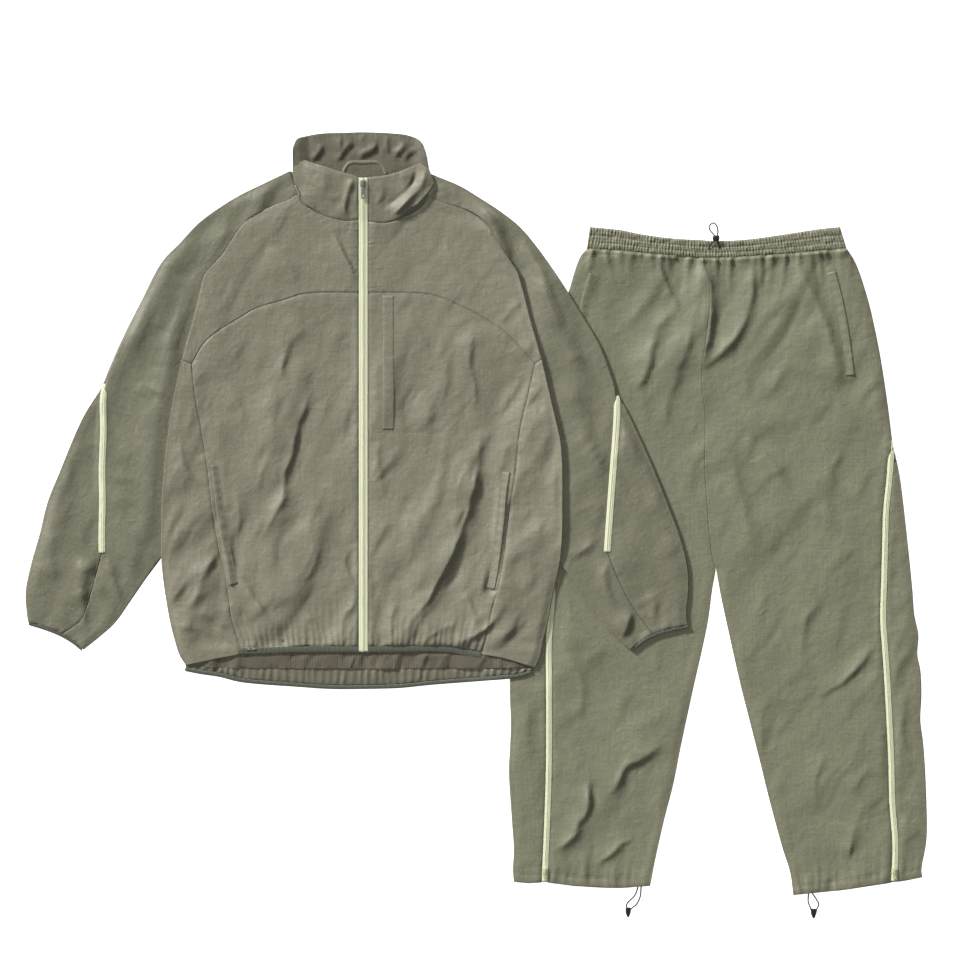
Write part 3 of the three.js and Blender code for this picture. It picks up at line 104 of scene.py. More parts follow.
# Outlines of the jacket, from the middle of its front hem. Columns: x, y.
JACKET = {
  "right": {
    "sign": -1,
    "shoulder": [
      [-112.5, 735.9], [-150.7, 717.6], [-196.6, 694.6], [-250.2, 657.9], [-280.8, 625.8],
      [-308.3, 596.7], [-338.9, 538.6], [-371, 474.3], [-393, 424],
    ],
    "sleeveOuter": [
      [-393, 424], [-401.6, 403.9], [-429.2, 358], [-464.4, 275.4], [-482.7, 229.5],
      [-494.9, 180.5], [-508.7, 131.6], [-516.4, 91.8], [-514.8, 61.2], [-511.8, 41.3],
    ],
    "cuff": [[-511.8, 41.3], [-487.3, 33.7], [-464.4, 24.5], [-446, 13.8], [-430.7, 1.5]],
    "sleeveInner": [
      [-430.7, 1.5], [-398.6, 27.5], [-380.2, 44.4], [-354.2, 81.1], [-334.3, 110.2], [-311.4, 140.8],
    ],
    "bodyEdge": [
      [-271.6, -19.9], [-280.8, -5], [-288.4, 18], [-296, 49], [-302, 83], [-306.8, 118], [-308.3, 141],
      [-308.3, 187], [-307.5, 233], [-303.7, 286], [-299.1, 324], [-293, 370], [-285.3, 409], [-277.5, 447],
    ],
    "yokeEdge": [[-277.5, 447], [-271.6, 470], [-260.9, 508], [-250.2, 551], [-243.5, 577]],
    "raglan": [
      [-243.5, 577], [-231.8, 590.6], [-216.5, 607.4], [-201.2, 630.4], [-189, 648.7], [-173.7, 664],
      [-135.4, 683.9], [-112.5, 693.1], [-98, 702.3],
    ],
    "backRaglan": [[-228, 580], [-190, 655], [-140, 700], [-85, 728]],
    "neckSide": [[-112.5, 735.9], [-106.8, 719.1], [-98, 702.3]],
    "neck": [
      [-98, 702.3], [-92.6, 687], [-78.8, 677.8], [-63.5, 668.6], [-43.6, 662.5], [-28.3, 659.4], [-7.2, 661],
    ],
    "collarEdge": [
      [-107.9, 768], [-101.7, 760.4], [-92.6, 754.3], [-78.8, 748.2], [-58.9, 742.1], [-36, 734.4],
      [-13, 728.3], [-7.2, 725.2],
    ],
    "collarSide": [[-98, 702.3], [-106.3, 719.1], [-107.9, 734.4], [-107.9, 768]],
    "yokeSeam": [
      [-262.4, 441], [-245.6, 469.7], [-231.8, 483.5], [-211.9, 497.3], [-189, 511], [-166, 524.8],
      [-120.1, 538.6], [-97.2, 546.2], [-66.6, 549.3], [-7.2, 549.3],
    ],
    "sideSeam": [
      [-189, -3], [-192, 18.4], [-201.2, 49], [-205.8, 79.6], [-213.4, 125.5], [-221.1, 156.1], [-228.7, 202],
      [-234.9, 247.9], [-239.4, 286.1], [-245.6, 324.4], [-250.2, 355], [-256.3, 385.6], [-262.4, 441],
    ],
    "hem": [[-189, -3.1], [-143, -1.5], [-97, 0], [-7.2, 0]],
    "sideHem": [[-271.6, -19.9], [-234.9, -12.2], [-189, -3.1]],
    "welt": [[-226.8, 286.1], [-222.3, 247.9], [-216.1, 202], [-209, 160], [-203, 130], [-197.5, 103]],
    "stripe": [
      [-399.5, 151.5], [-399.5, 186.7], [-398.6, 232.6], [-399.3, 278.5], [-397, 339.7], [-397.5, 385.6],
      [-394, 410],
    ],
    "underStripe": [[-446, 13.8], [-431, 50], [-415, 95], [-399.5, 151.5]],
  },
  "left": {
    "sign": 1,
    "shoulder": [
      [103.3, 731.3], [147.6, 713], [178.2, 694.6], [208.8, 674.7], [239.4, 650.3], [270, 613.5],
      [300.6, 569.2], [331.2, 520.2], [361.8, 468.2], [378.7, 423.8], [385, 404],
    ],
    "sleeveOuter": [
      [385, 404], [407.7, 358], [438.3, 292.2], [468.9, 217.3], [484.2, 176], [491.9, 148.4], [496.5, 122.4],
      [496.5, 87.2], [493.4, 61.2], [496.5, 36.7],
    ],
    "cuff": [[496.5, 36.7], [472, 32.1], [446, 24.5], [430.7, 16.8], [410.8, 1.5]],
    "sleeveInner": [[410.8, 1.5], [394, 15.3], [369.5, 39.8], [346.5, 67.3], [323.6, 104], [300.6, 137.7]],
    "bodyEdge": [
      [262.4, -23], [270, -5], [274.6, 18], [282.3, 49], [288.4, 83], [296, 118], [300.6, 141], [303.7, 187],
      [303.7, 286], [300.6, 324], [290, 370], [280.8, 409], [272, 447],
    ],
    "yokeEdge": [[272, 447], [265.5, 470], [254.7, 508], [244, 551], [235.5, 581]],
    "raglan": [
      [235.5, 581], [221, 603], [202.7, 630.4], [190.5, 651.8], [175.2, 667], [155.3, 677.8], [124.7, 687],
      [98.7, 696.2],
    ],
    "backRaglan": [[221, 584], [185, 655], [138, 700], [82, 727]],
    "neckSide": [[103.3, 731.3], [106.5, 712], [98.7, 696.2]],
    "neck": [[98.7, 696.2], [94.1, 685.4], [78.8, 673.2], [55.8, 662.5], [32.9, 656], [7.2, 658.4]],
    "collarEdge": [[97.2, 757], [89.5, 749.7], [74.2, 742.1], [55.8, 734.4], [32.9, 728.3], [7.2, 725.2]],
    "collarSide": [[98.7, 696.2], [107, 717.6], [101, 737], [97.2, 757]],
    "yokeSeam": [
      [262.4, 441], [231.8, 474.3], [216.5, 489.6], [193.5, 504.9], [170.6, 518.7], [147.6, 529.4],
      [124.7, 540.1], [101.7, 546.2], [55.8, 549.3], [7.2, 549.3],
    ],
    "sideSeam": [
      [180, -3], [190.5, 33.7], [196.6, 64.3], [204.3, 91.8], [215, 148.4], [221.1, 194.3], [225.7, 232.6],
      [231.8, 270.8], [239.4, 339.7], [251.7, 393.2], [262.4, 441],
    ],
    "hem": [[180, -7.7], [155.3, -4.6], [132, 0], [7.2, 0]],
    "sideHem": [[262.4, -23], [208.8, -10.7], [180, -7.7]],
    "welt": [[218, 275.4], [213, 240.2], [210, 202], [205.5, 163.7], [200.5, 128], [194.5, 97]],
    "stripe": [
      [372.6, 153], [377.1, 217.3], [381.7, 278.5], [386.3, 339.7], [387.9, 375], [386.5, 392],
    ],
    "underStripe": [[444, 24], [416, 62], [392, 105], [372.6, 153]],
  },
  "collarBack": [
    [-107.9, 768], [-101.7, 783.4], [-89.5, 788], [-66.6, 792.5], [-28.3, 794.1], [2.3, 794.8], [40.5, 793.3],
    [63.5, 791], [78.8, 786.4], [88, 780.3], [94.1, 768.1], [97.2, 757],
  ],
  "backNeck": [[-107.9, 731], [-85, 728], [-40, 727], [40, 727], [82, 727], [100, 730]],
  "backHem": [
    [-273.1, -29.1], [-250.2, -33.7], [-219.6, -38.3], [-189, -45.9], [-97.2, -53.6], [-51.3, -56.6],
    [2.3, -56.6], [55.8, -55.1], [101.7, -50.5], [178.2, -44.4], [239.4, -38.3], [257.8, -32.1],
  ],
  "bandTop": [[-271.6, -22], [262.4, -24.5]],
}

# Outlines of the trousers, from the crotch. Columns: x, y.
TROUSERS = {
  "right": {
    "sign": -1,
    "outerTop": [
      [-269.5, 194.3], [-257, 287], [-244, 355], [-224.9, 425.3], [-208.1, 475.8], [-197.4, 489],
    ],
    "outerLow": [
      [-309.1, -480], [-310.6, -462.1], [-309.1, -431.5], [-312.1, -385.6], [-316.7, -309.1],
      [-315.2, -278.5], [-313.7, -240.2], [-315.2, -171.4], [-308, -103], [-300, -34], [-292, 43],
      [-281, 134], [-275, 165],
    ],
    "inner": [
      [-101, -486], [-93.3, -446.8], [-79.6, -385.6], [-65.8, -332], [-53.6, -270.8], [-42.8, -220.3],
      [-32.1, -171.4], [-19.9, -117.8], [-12.2, -79.6], [-6.1, -33.7], [-0.6, -3],
    ],
    "zip": [
      [-262, -479.5], [-257, -355], [-255.5, -293.8], [-255.5, -171.4], [-255.5, -110.2], [-250.9, -49],
      [-254, 42.8], [-258, 88.7], [-262, 134.6], [-269.5, 194.3],
    ],
    "hem": [[-309.1, -480], [-285, -482], [-261.6, -480.4], [-215.7, -486.5], [-146.9, -489.6], [-101, -486]],
    "waist": [[-197.4, 489], [-139.2, 485], [-101, 481], [-55.1, 477.5], [-20.8, 474.3]],
    "pocket": [[-187, 449.8], [-199, 410], [-206, 360], [-212, 297]],
  },
  "left": {
    "sign": 1,
    "outerTop": [
      [269.3, 195.8], [261.6, 257], [250.9, 325.9], [241.7, 371.8], [232.6, 410], [212.7, 468.2],
      [198.9, 489],
    ],
    "outerLow": [
      [315.2, -472.8], [313.7, -462.1], [321.3, -416.2], [321.3, -355], [316.7, -270.8], [312.1, -232.6],
      [313.7, -194.3], [312.1, -156.1], [307.5, -133.1], [309.1, -102.5], [302.9, -71.9], [299.9, -33.7],
      [292.2, 42.8], [281.5, 134.6], [276, 165],
    ],
    "inner": [
      [118, -500], [113.2, -465.1], [102.5, -431.5], [79.6, -347.3], [67.3, -296.8], [49, -224.9],
      [36.7, -176], [16.8, -87.2], [6.1, -36.7], [0.6, -3],
    ],
    "zip": [
      [272, -479], [274, -440], [273.9, -416.2], [269.3, -355], [267.8, -293.8], [261.6, -171.4],
      [258.6, -125.5], [255.5, -79.6], [257, -18.4], [258.6, 42.8], [260.1, 88.7], [264.7, 134.6],
      [269.3, 195.8],
    ],
    "hem": [[315.2, -472.8], [290, -478], [272, -480.5], [250.9, -483.5], [189.7, -492.7], [118, -500]],
    "waist": [[198.9, 489], [174.4, 487], [128.5, 482.5], [67.3, 478], [13.8, 475], [-20.8, 474.3]],
    "pocket": [[176, 452.9], [187, 410], [197, 356.5], [205, 294]],
  },
  "centreSeam": [
    [0, -3], [-4.6, 12.2], [-9.2, 42.8], [-13.8, 104], [-16.8, 149.9], [-16.8, 241.7], [-21.4, 280],
    [-19.9, 318.2], [-13.8, 364.1], [-9.2, 410], [-12.2, 448.3], [-20.8, 474.3],
  ],
  "waistTop": [
    [-192.8, 521.7], [-146.9, 517.1], [-116.3, 511], [-85.7, 506.4], [-55.1, 503.4], [-24.5, 501.8],
    [-1.5, 500.3], [36.7, 501.8], [67.3, 504.9], [97.9, 509.5], [128.5, 514.1], [159.1, 518.7], [189, 521.7],
  ],
}

# The sewn outline of the chest pocket's bag. Columns: x, y.
POCKET_BAG = [(19, 336.6), (70, 336.6), (117, 336.6), (140, 358), (163, 382), (175, 396)]

# The hanger loop inside the back neck. Columns: x, y.
HANGER = [(-31, 733), (-27, 742), (-20, 748.5), (2, 749), (24, 748.5), (30.5, 741), (35, 730.5)]

# Creases. Columns: height, width of the dark flank, width of the lit side, the flank's points (x, y)
BODY_CREASES = [
    (1.6, 7, 24, [(-88, 505), (-112, 470), (-125, 431), (-128, 409)]),
    (2.7, 7, 30, [(-67, 424), (-85, 386), (-100, 340), (-108, 301), (-119, 271), (-123, 233), (-135, 210),
                  (-155, 179), (-174, 153)]),
    (1.2, 10, 22, [(-131, 324), (-155, 278), (-164, 233)]),
    (1.0, 9, 18, [(-194, 263), (-190, 210), (-194, 156)]),
    (2.2, 7, 26, [(-201, 141), (-181, 103), (-155, 67), (-97, 18)]),
    (3.0, 7, 22, [(-221, 156), (-243, 118), (-258, 80), (-273, 64)]),
    (1.6, 6, 18, [(-279, 324), (-275, 286), (-250, 259)]),
    (1.8, 3, 16, [(-48, 643), (-28, 607), (-8, 558)]),
    (1.6, 6, 20, [(-10, 164), (-28, 141), (-10, 80), (-28, 57), (-36, 31)]),
    (1.4, 6, 18, [(-85, 61), (-56, 18)]),
    (1.6, 6, 18, [(-250, 69), (-207, 31)]),
    (1.4, 5, 14, [(-284, 41), (-227, 26)]),
    (4.0, 6, 34, [(176, 340), (177, 300), (170, 258), (160, 217), (147, 178), (131, 138), (110, 98), (84, 58),
                  (70, 40)]),
    (1.6, 5, 22, [(168, 500), (163, 440), (172, 400), (166, 366)]),
    (1.2, 7, 22, [(25, 324), (22, 294), (33, 233)]),
    (1.8, 5, 16, [(56, 75), (44, 57), (42, 18)]),
    (1.6, 6, 18, [(148, 49), (117, 34), (86, 11)]),
    (3.0, 6, 22, [(209, 57), (171, 26), (125, 8)]),
    (1.6, 6, 16, [(255, 52), (204, 18)]),
    (1.4, 5, 14, [(216, 80), (201, 41)]),
    (1.4, 5, 14, [(155, 98), (175, 41)]),
    (1.0, 5, 18, [(208, 500), (225, 520), (247, 540)]),
    (1.0, 12, 30, [(-230, 420), (-190, 380), (-175, 330)]),
    (1.0, 12, 30, [(60, 520), (95, 470), (100, 420)]),
    (1.1, 10, 24, [(-60, 250), (-80, 190), (-70, 130)]),
    (1.2, 9, 22, [(230, 330), (215, 300), (212, 250)]),
    (1.2, 10, 26, [(-150, 620), (-120, 600), (-100, 560)]),
    (1.2, 10, 26, [(120, 640), (140, 600), (175, 570)]),
    (1.0, 9, 24, [(60, 210), (75, 160), (60, 120)]),
]
COLLAR_CREASES = [
    (5.4, 9, 16, [(98, 745), (88, 712), (64, 686), (40, 662)]),
    (3.6, 5, 12, [(112, 722), (92, 694), (70, 676), (36, 654)]),
    (-2.4, 5, 12, [(84, 744), (74, 716), (52, 694), (28, 674)]),
    (2.2, 5, 14, [(-14, 730), (-26, 692), (-26, 660)]),
    (0.9, 5, 12, [(-88, 730), (-70, 712), (-48, 706)]),
    (0.8, 4, 10, [(-64, 700), (-44, 694), (-30, 700)]),
    (1.0, 4, 10, [(26, 725), (30, 704), (20, 680)]),
    (1.2, 4, 10, [(76, 738), (70, 715), (52, 700)]),
]
INNER_COLLAR_CREASES = [
    (2.8, 3, 8, [(-60, 778), (-66, 766), (-82, 752)]),
    (2.8, 3, 8, [(-11, 779), (-26, 770), (-44, 748)]),
    (2.8, 3, 8, [(21, 779), (18, 771), (0, 763), (-9, 754)]),
    (3.2, 4, 8, [(64, 780), (58, 768), (46, 756)]),
    (2.0, 3, 7, [(84, 768), (70, 762), (60, 752)]),
    (1.6, 3, 7, [(40, 790), (36, 776), (40, 762)]),
    (1.6, 3, 7, [(-36, 790), (-38, 776), (-30, 764)]),
    (1.4, 3, 7, [(4, 792), (-2, 782), (6, 774)]),
]
SLEEVE_CREASES = [
    (3.4, 6, 20, [(-262, 560), (-276, 515), (-293, 470), (-284, 435), (-299, 416), (-296, 380)]),
    (1.8, 5, 16, [(-342, 386), (-327, 401), (-296, 386)]),
    (1.6, 7, 24, [(-373, 462), (-380, 416), (-388, 355)]),
    (1.8, 5, 16, [(-357, 271), (-376, 256)]),
    (1.8, 5, 16, [(-357, 237), (-380, 220)]),
    (2.6, 6, 20, [(-403, 148), (-418, 125), (-429, 80), (-422, 18)]),
    (2.0, 5, 16, [(-391, 148), (-376, 95), (-369, 72)]),
    (3.6, 6, 22, [(262, 622), (270, 607), (282, 554), (298, 508), (313, 470), (331, 439), (346, 400)]),
    (3.0, 6, 18, [(318, 430), (331, 378), (343, 324), (369, 278), (378, 262)]),
    (2.0, 6, 16, [(359, 171), (313, 144)]),
    (1.8, 6, 16, [(374, 141), (369, 110), (389, 57)]),
    (1.6, 5, 16, [(461, 179), (484, 153)]),
    (2.8, 6, 20, [(411, 64), (400, 34), (394, 15)]),
    (1.8, 5, 16, [(438, 95), (446, 72), (441, 41)]),
    (1.8, 6, 18, [(-416, 147), (-412, 120), (-404, 100), (-393, 80)]),
    (1.6, 5, 18, [(-424, 150), (-431, 110), (-425, 70)]),
    (1.0, 10, 26, [(-440, 330), (-450, 290), (-452, 240)]),
    (1.0, 10, 26, [(430, 300), (445, 250), (440, 200)]),
    (1.2, 8, 22, [(-330, 540), (-345, 500), (-352, 460)]),
    (1.2, 8, 22, [(240, 640), (262, 600), (280, 570)]),
    (1.2, 8, 18, [(-345, 190), (-365, 170), (-378, 140)]),
    (1.2, 7, 18, [(345, 240), (360, 215), (366, 190)]),
    (1.2, 7, 18, [(-470, 190), (-478, 150), (-470, 110)]),
    (1.2, 9, 24, [(-200, 660), (-230, 610), (-262, 560)]),
]
ARMHOLE_FOLD = [
    (5.0, 9, 24, [(178, 700), (190, 672), (200, 650), (213, 623), (226, 592), (234, 570), (243, 540)]),
]
LEG_CREASES = [
    (4.4, 8, 26, [(-26, 486), (-14, 448), (-7, 410), (-10, 364), (-20, 318), (-24, 290)]),
    (2.8, 5, 20, [(-98, 492), (-92, 477), (-80, 444), (-64, 405), (-58, 380)]),
    (3.2, 7, 26, [(64, 470), (58, 441), (55, 410), (40, 372), (21, 341), (-14, 308), (-20, 290)]),
    (1.8, 6, 18, [(72, 479), (67, 448), (70, 425)]),
    (3.2, 12, 34, [(118, 480), (126, 454), (144, 424), (162, 387), (173, 356), (184, 301), (188, 270)]),
    (2.2, 7, 24, [(-36, 372), (-43, 341), (-58, 301), (-70, 265), (-80, 205)]),
    (2.8, 7, 26, [(-55, 395), (-86, 372), (-98, 341), (-104, 303), (-116, 280), (-139, 265)]),
    (1.6, 12, 30, [(14, 211), (44, 89), (55, 12)]),
    (1.8, 8, 26, [(37, 211), (67, 181), (121, 112)]),
    (2.2, 4, 18, [(246, -115), (217, -148), (197, -171), (151, -202)]),
    (1.2, 10, 24, [(236, -294), (202, -347)]),
    (1.6, 6, 18, [(285, -378), (309, -413)]),
    (2.0, 7, 22, [(213, -386), (202, -447)]),
    (3.0, 7, 24, [(-73, -260), (-93, -275), (-113, -291), (-139, -306), (-159, -340), (-177, -352)]),
    (3.0, 6, 22, [(-181, -317), (-193, -324), (-196, -373), (-213, -390), (-217, -409), (-239, -428),
                  (-251, -439)]),
    (2.2, 6, 18, [(-119, -413), (-147, -424), (-185, -459)]),
    (1.2, 10, 28, [(110, 330), (90, 280), (60, 250)]),
    (1.2, 10, 28, [(200, 200), (170, 120), (180, 40)]),
    (1.1, 10, 26, [(-170, 180), (-140, 100), (-150, 30)]),
    (1.2, 8, 22, [(-120, -60), (-90, -120), (-95, -170)]),
    (1.2, 10, 26, [(150, -40), (130, -120), (140, -180)]),
    (1.2, 8, 22, [(-230, -120), (-205, -180), (-210, -240)]),
    (1.2, 8, 22, [(290, -180), (283, -240), (290, -290)]),
    (1.2, 8, 22, [(170, -280), (150, -330), (155, -380)]),
    (1.2, 8, 22, [(-285, -200), (-290, -260), (-283, -320)]),
]

# Drawcords. Columns: x, y, z from the crotch of the trousers, as in the part
LOOP = 8.6
CORDS = {
    "waist_cord": [
        (-12.2, 487.5, 6.3), (-11.4, 489.5, 8), (-8, 495, LOOP), (-3.2, 500.5, 10.4), (-2.6, 507, 10.4),
        (-7, 513, LOOP), (-10.7, 518.7, 8), (-9, 525, 8), (-4, 527.5, 8), (0.6, 523, 8), (2.4, 515, LOOP),
        (1.6, 507, 10.4), (1.8, 500.5, 10.4), (3.6, 495, LOOP), (4.7, 491, 8), (5, 489, 6.3),
    ],
    "hem_cord_right": [
        (-119.3, -487.7, 1.4), (-124, -500, 1.4), (-136.2, -513.6, 1.4), (-137.5, -521, 2.6),
        (-136.6, -529, 2.8), (-132.6, -529, 2.8), (-130.5, -521.7, 2.6), (-122.4, -515.1, 1.4),
        (-116.3, -503, 1.4), (-114.5, -487.4, 1.4),
    ],
    "hem_cord_left": [
        (141.5, -498.2, 1.4), (141, -511, 1.4), (145, -521.7, 2.6), (147, -530.5, 2.8),
        (151.2, -530.5, 2.8), (153.6, -522.4, 2.6), (157, -514, 1.4), (153, -506, 1.4), (147.5, -497.6, 1.4),
    ],
}
CORD = 2.2


# Numbers, lines and heights

def smooth(start, end, x):
    t = np.clip((x - start) / (end - start), 0, 1)
    return t * t * (3 - 2 * t)


def mix(a, b, t):
    return a + (b - a) * t


def distances(line):
    """How far along a line each of its points lies."""
    return np.concatenate([[0], np.cumsum(np.linalg.norm(np.diff(line, axis=0), axis=1))])


def directions(line):
    run = np.gradient(line, axis=0)
    return run / np.linalg.norm(run, axis=1)[:, None]


def evenly(line, count):
    """The same line with its points at equal distances."""
    run = distances(line)
    places = np.linspace(0, run[-1], count + 1)
    return np.stack([np.interp(places, run, line[:, k]) for k in range(line.shape[1])], axis=1)


def spline(points, count):
    """Evenly spaced points along a smooth curve through a table's points."""
    p = np.array(points, float)
    p = np.vstack([2 * p[0] - p[1], p, 2 * p[-1] - p[-2]])
    dense = []
    t = np.linspace(0, 1, 25)[:-1, None]
    for a, b, c, d in zip(p[:-3], p[1:-2], p[2:-1], p[3:]):
        gaps = [max(np.sum((q - r) ** 2) ** 0.25, 1e-4) for q, r in ((b, a), (c, b), (d, c))]
        start = ((b - a) / gaps[0] - (c - a) / (gaps[0] + gaps[1]) + (c - b) / gaps[1]) * gaps[1]
        end = ((c - b) / gaps[1] - (d - b) / (gaps[1] + gaps[2]) + (d - c) / gaps[2]) * gaps[1]
        bend, twist = 3 * (c - b) - 2 * start - end, 2 * (b - c) + start + end
        dense.append(b + start * t + bend * t**2 + twist * t**3)
    return evenly(np.vstack(dense + [p[-2:-1]]), count)


def join(*lines):
    """One line from several that each start where the one before ends."""
    return np.vstack([lines[0]] + [line[1:] for line in lines[1:]])


def straight(a, b, count):
    return mix(np.array(a, float), np.array(b, float), np.linspace(0, 1, count + 1)[:, None])


def at(line, shares):
    """Points at shares of the line's own count of points."""
    places = np.arange(len(line)) / (len(line) - 1)
    return np.stack([np.interp(shares, places, line[:, k]) for k in range(line.shape[1])], axis=1)


def ladder(low, high, count):
    """The left, right, bottom and top edges of a band between two lines."""
    return straight(low[0], high[0], count), straight(low[-1], high[-1], count), low, high


def length_of(line):
    return float(distances(line)[-1])


def beside(line, distance):
    """The line moved to its left as one walks along it."""
    run = directions(line)
    return line + np.stack([-run[:, 1], run[:, 0]], axis=1) * np.reshape(distance, (-1, 1))


def tape_halves(line, outline, half):
    """A tape's inner and outer half widths: it narrows to a point where it comes to an outline."""
    room = near(outline, line[:, 0], line[:, 1])[0]
    outer = np.clip(room - 0.4, 0.4, half)
    return mix(0.3 - outer, half, smooth(0.2 * half, 1.9 * half, room)), outer


def near(line, x, y):
    """Distance from a line, the share along it, and the side: 1 on the left of the walk."""
    line = np.asarray(line, float)
    best = np.full(np.shape(x), np.inf)
    along = np.zeros(np.shape(x))
    side = np.ones(np.shape(x))
    for i in range(len(line) - 1):
        (ax, ay), (dx, dy) = line[i], line[i + 1] - line[i]
        t = np.clip(((x - ax) * dx + (y - ay) * dy) / (dx * dx + dy * dy), 0, 1)
        ex, ey = x - ax - t * dx, y - ay - t * dy
        far = np.hypot(ex, ey)
        closer = far < best
        best = np.where(closer, far, best)
        along = np.where(closer, (i + t) / (len(line) - 1), along)
        side = np.where(closer, np.where(dx * ey - dy * ex < 0, -1, 1), side)
    return best, along, side


def across(outline, y):
    """Where an outline lies in x at each y."""
    line = np.array(sorted(outline, key=lambda p: p[1]), float)
    return np.interp(y, line[:, 1], line[:, 0])


def noise(x, y, size, seed):
    """Smooth bumps from about -1 to 1 that lie about a size apart."""
    u, v = x / size, y / size
    cell_u, cell_v = np.floor(u), np.floor(v)
    total = 0
    for du in (0, 1):
        for dv in (0, 1):
            turn = np.sin((cell_u + du) * 127.1 + (cell_v + dv) * 311.7 + seed * 74.7) * 43758.5453
            turn = (turn - np.floor(turn)) * 2 * math.pi
            a, b = u - cell_u - du, v - cell_v - dv
            share = smooth(1, 0, np.abs(a)) * smooth(1, 0, np.abs(b))
            total = total + share * (np.cos(turn) * a + np.sin(turn) * b)
    return total * 1.6


def rumple(x, y, seed, turn=1.1):
    """The soft, uneven folds of light nylon, long in one direction and steeper on one side."""
    s, c = math.sin(turn), math.cos(turn)
    along, over = (x * c + y * s) * 0.4, y * c - x * s
    total = 0
    for size, height, index in ((125, 6.0, 1), (64, 4.2, 2), (31, 2.0, 3)):
        bend = noise(along, over * 0.5, size * 1.3, seed + index + 9) * size * 0.35
        wave = noise(along, over + bend, size, seed + index)
        wave = noise(along, over + bend + 0.36 * size * wave, size, seed + index)
        there = smooth(-0.35, 0.4, noise(x, y, size * 1.7, seed + index + 20))
        facets = np.arcsin(0.98 * np.sin(3.6 * wave)) / 1.37
        total = total + height * (0.5 * wave + 0.45 * facets) * there
    return total + 0.1 * noise(x, y, 12, seed + 5)


def creases(table, x, y, seed=0):
    """Uneven folds whose lit side faces the upper left and whose dark flank is steep."""
    total = np.zeros(np.shape(x))
    for index, (height, flank, lit, path) in enumerate(table):
        line = spline(path, 5 * len(path))
        reach = lit * 3.2
        (low_x, low_y), (high_x, high_y) = line.min(axis=0) - reach, line.max(axis=0) + reach
        there = (x > low_x) & (x < high_x) & (y > low_y) & (y < high_y)
        if not there.any():
            continue
        px, py = x[there], y[there]
        far, along, side = near(line, px, py)
        run = line[-1] - line[0]
        s = far * side * (1 if run[0] + run[1] > 0 else -1)
        s = s + noise(px, py, 24, index + seed) * 2.2
        wide = lit * (0.75 + 0.3 * np.sin(along * 5 + index))
        flank = flank * (2.0 + 0.8 * np.sin(along * 7 + 2 * index))
        ends = smooth(0, 0.25, along) * smooth(1, 0.7, along) * smooth(reach, reach * 0.5, far)
        uneven = 0.8 + 0.4 * noise(px, py, 34, index + seed + 40)
        ridge = np.where(s < 0, np.clip(1 + s / flank, 0, 1) ** 2.2, np.exp(-np.maximum(s, 0) / wide))
        trough = 0.16 * np.exp(-((s + flank * 1.4) / flank) ** 2)
        total[there] += CREASE_SCALE * height * ends * uneven * (ridge - trough)
    return total


def gathers(count, share, seed=0.0):
    """Unequal gathers from 0 to 1 across a share from 0 to 1."""
    shift = 0.9 * np.sin(share * 31 + seed) + 0.6 * np.sin(share * 83 + 2 * seed)
    return 0.5 - 0.5 * np.cos(2 * math.pi * count * share + shift)


def lift(x, y):
    """How much the trousers raise the jacket that lies on them."""
    past = x + JACKET_FROM_TROUSERS[0] - across(
        TROUSERS["right"]["outerLow"] + TROUSERS["right"]["outerTop"], y + JACKET_FROM_TROUSERS[1])
    return JACKET_LIFT * smooth(-76, -16, past) * smooth(605, 565, y)


def zip_level(y):
    neck = BODY_TOP + NECK_RISE
    low = mix(BODY_TOP, neck, smooth(ZIP_NECK - 20, ZIP_NECK, y))
    return np.where(y < ZIP_NECK, low, mix(neck, COLLAR_TOP, (y - ZIP_NECK) / (ZIP_END - ZIP_NECK)))


def above(z, floor):
    """Heights that level off softly just over a floor."""
    room = np.asarray(z - floor, float)
    return floor + np.where(room > 1.5, room, 1.5 * np.exp(np.minimum(room - 1.5, 0) / 1.5))


def body_height(side):
    edge = side["bodyEdge"] + side["yokeEdge"][1:] + side["raglan"][1:]
    on_left = side["sign"] > 0
    own_folds, own_swell = (1.15, 8.5) if on_left else (0.9, 1.5)

    def height(x, y):
        far = near(edge, x, y)[0]
        welt = near(side["welt"], x, y)[0]
        bag = near(POCKET_BAG, x, y)[0]
        at_edge = mix(EDGE_TOP, LIP_TOP, smooth(95, 130, y))
        calm = smooth(0, 16, far) * smooth(7, 20, np.abs(x)) * smooth(0, 18, y) * smooth(3, 14, welt)
        flat = mix(at_edge, BODY_TOP, smooth(0, ROLL, far))
        neck = NECK_RISE * smooth(40, 0, near(side["neck"], x, y)[0])
        low_side = smooth(220, 110, y) * smooth(150, 250, np.abs(x))
        lively = mix(1.15, 0.45, smooth(330, 600, y)) * own_folds * (1 + 0.5 * low_side)
        folds = creases(BODY_CREASES, x, y) + rumple(x, y, 3) * lively
        folds = folds - 0.6 * np.exp(-(bag / 1.8) ** 2) + 0.5 * noise(x, y, 11, 61) * np.exp(-bag / 7)
        swell = own_swell * np.exp(-far / 15) * smooth(120, 170, y) * smooth(672, 640, y)
        puckers = 0 if on_left else 1.5 * noise(x * 0.6, y, 12, 71) * np.exp(-welt / 13)
        return above(flat + neck + folds * calm + swell + puckers, FRONT_FLOOR) + lift(x, y)

    return height


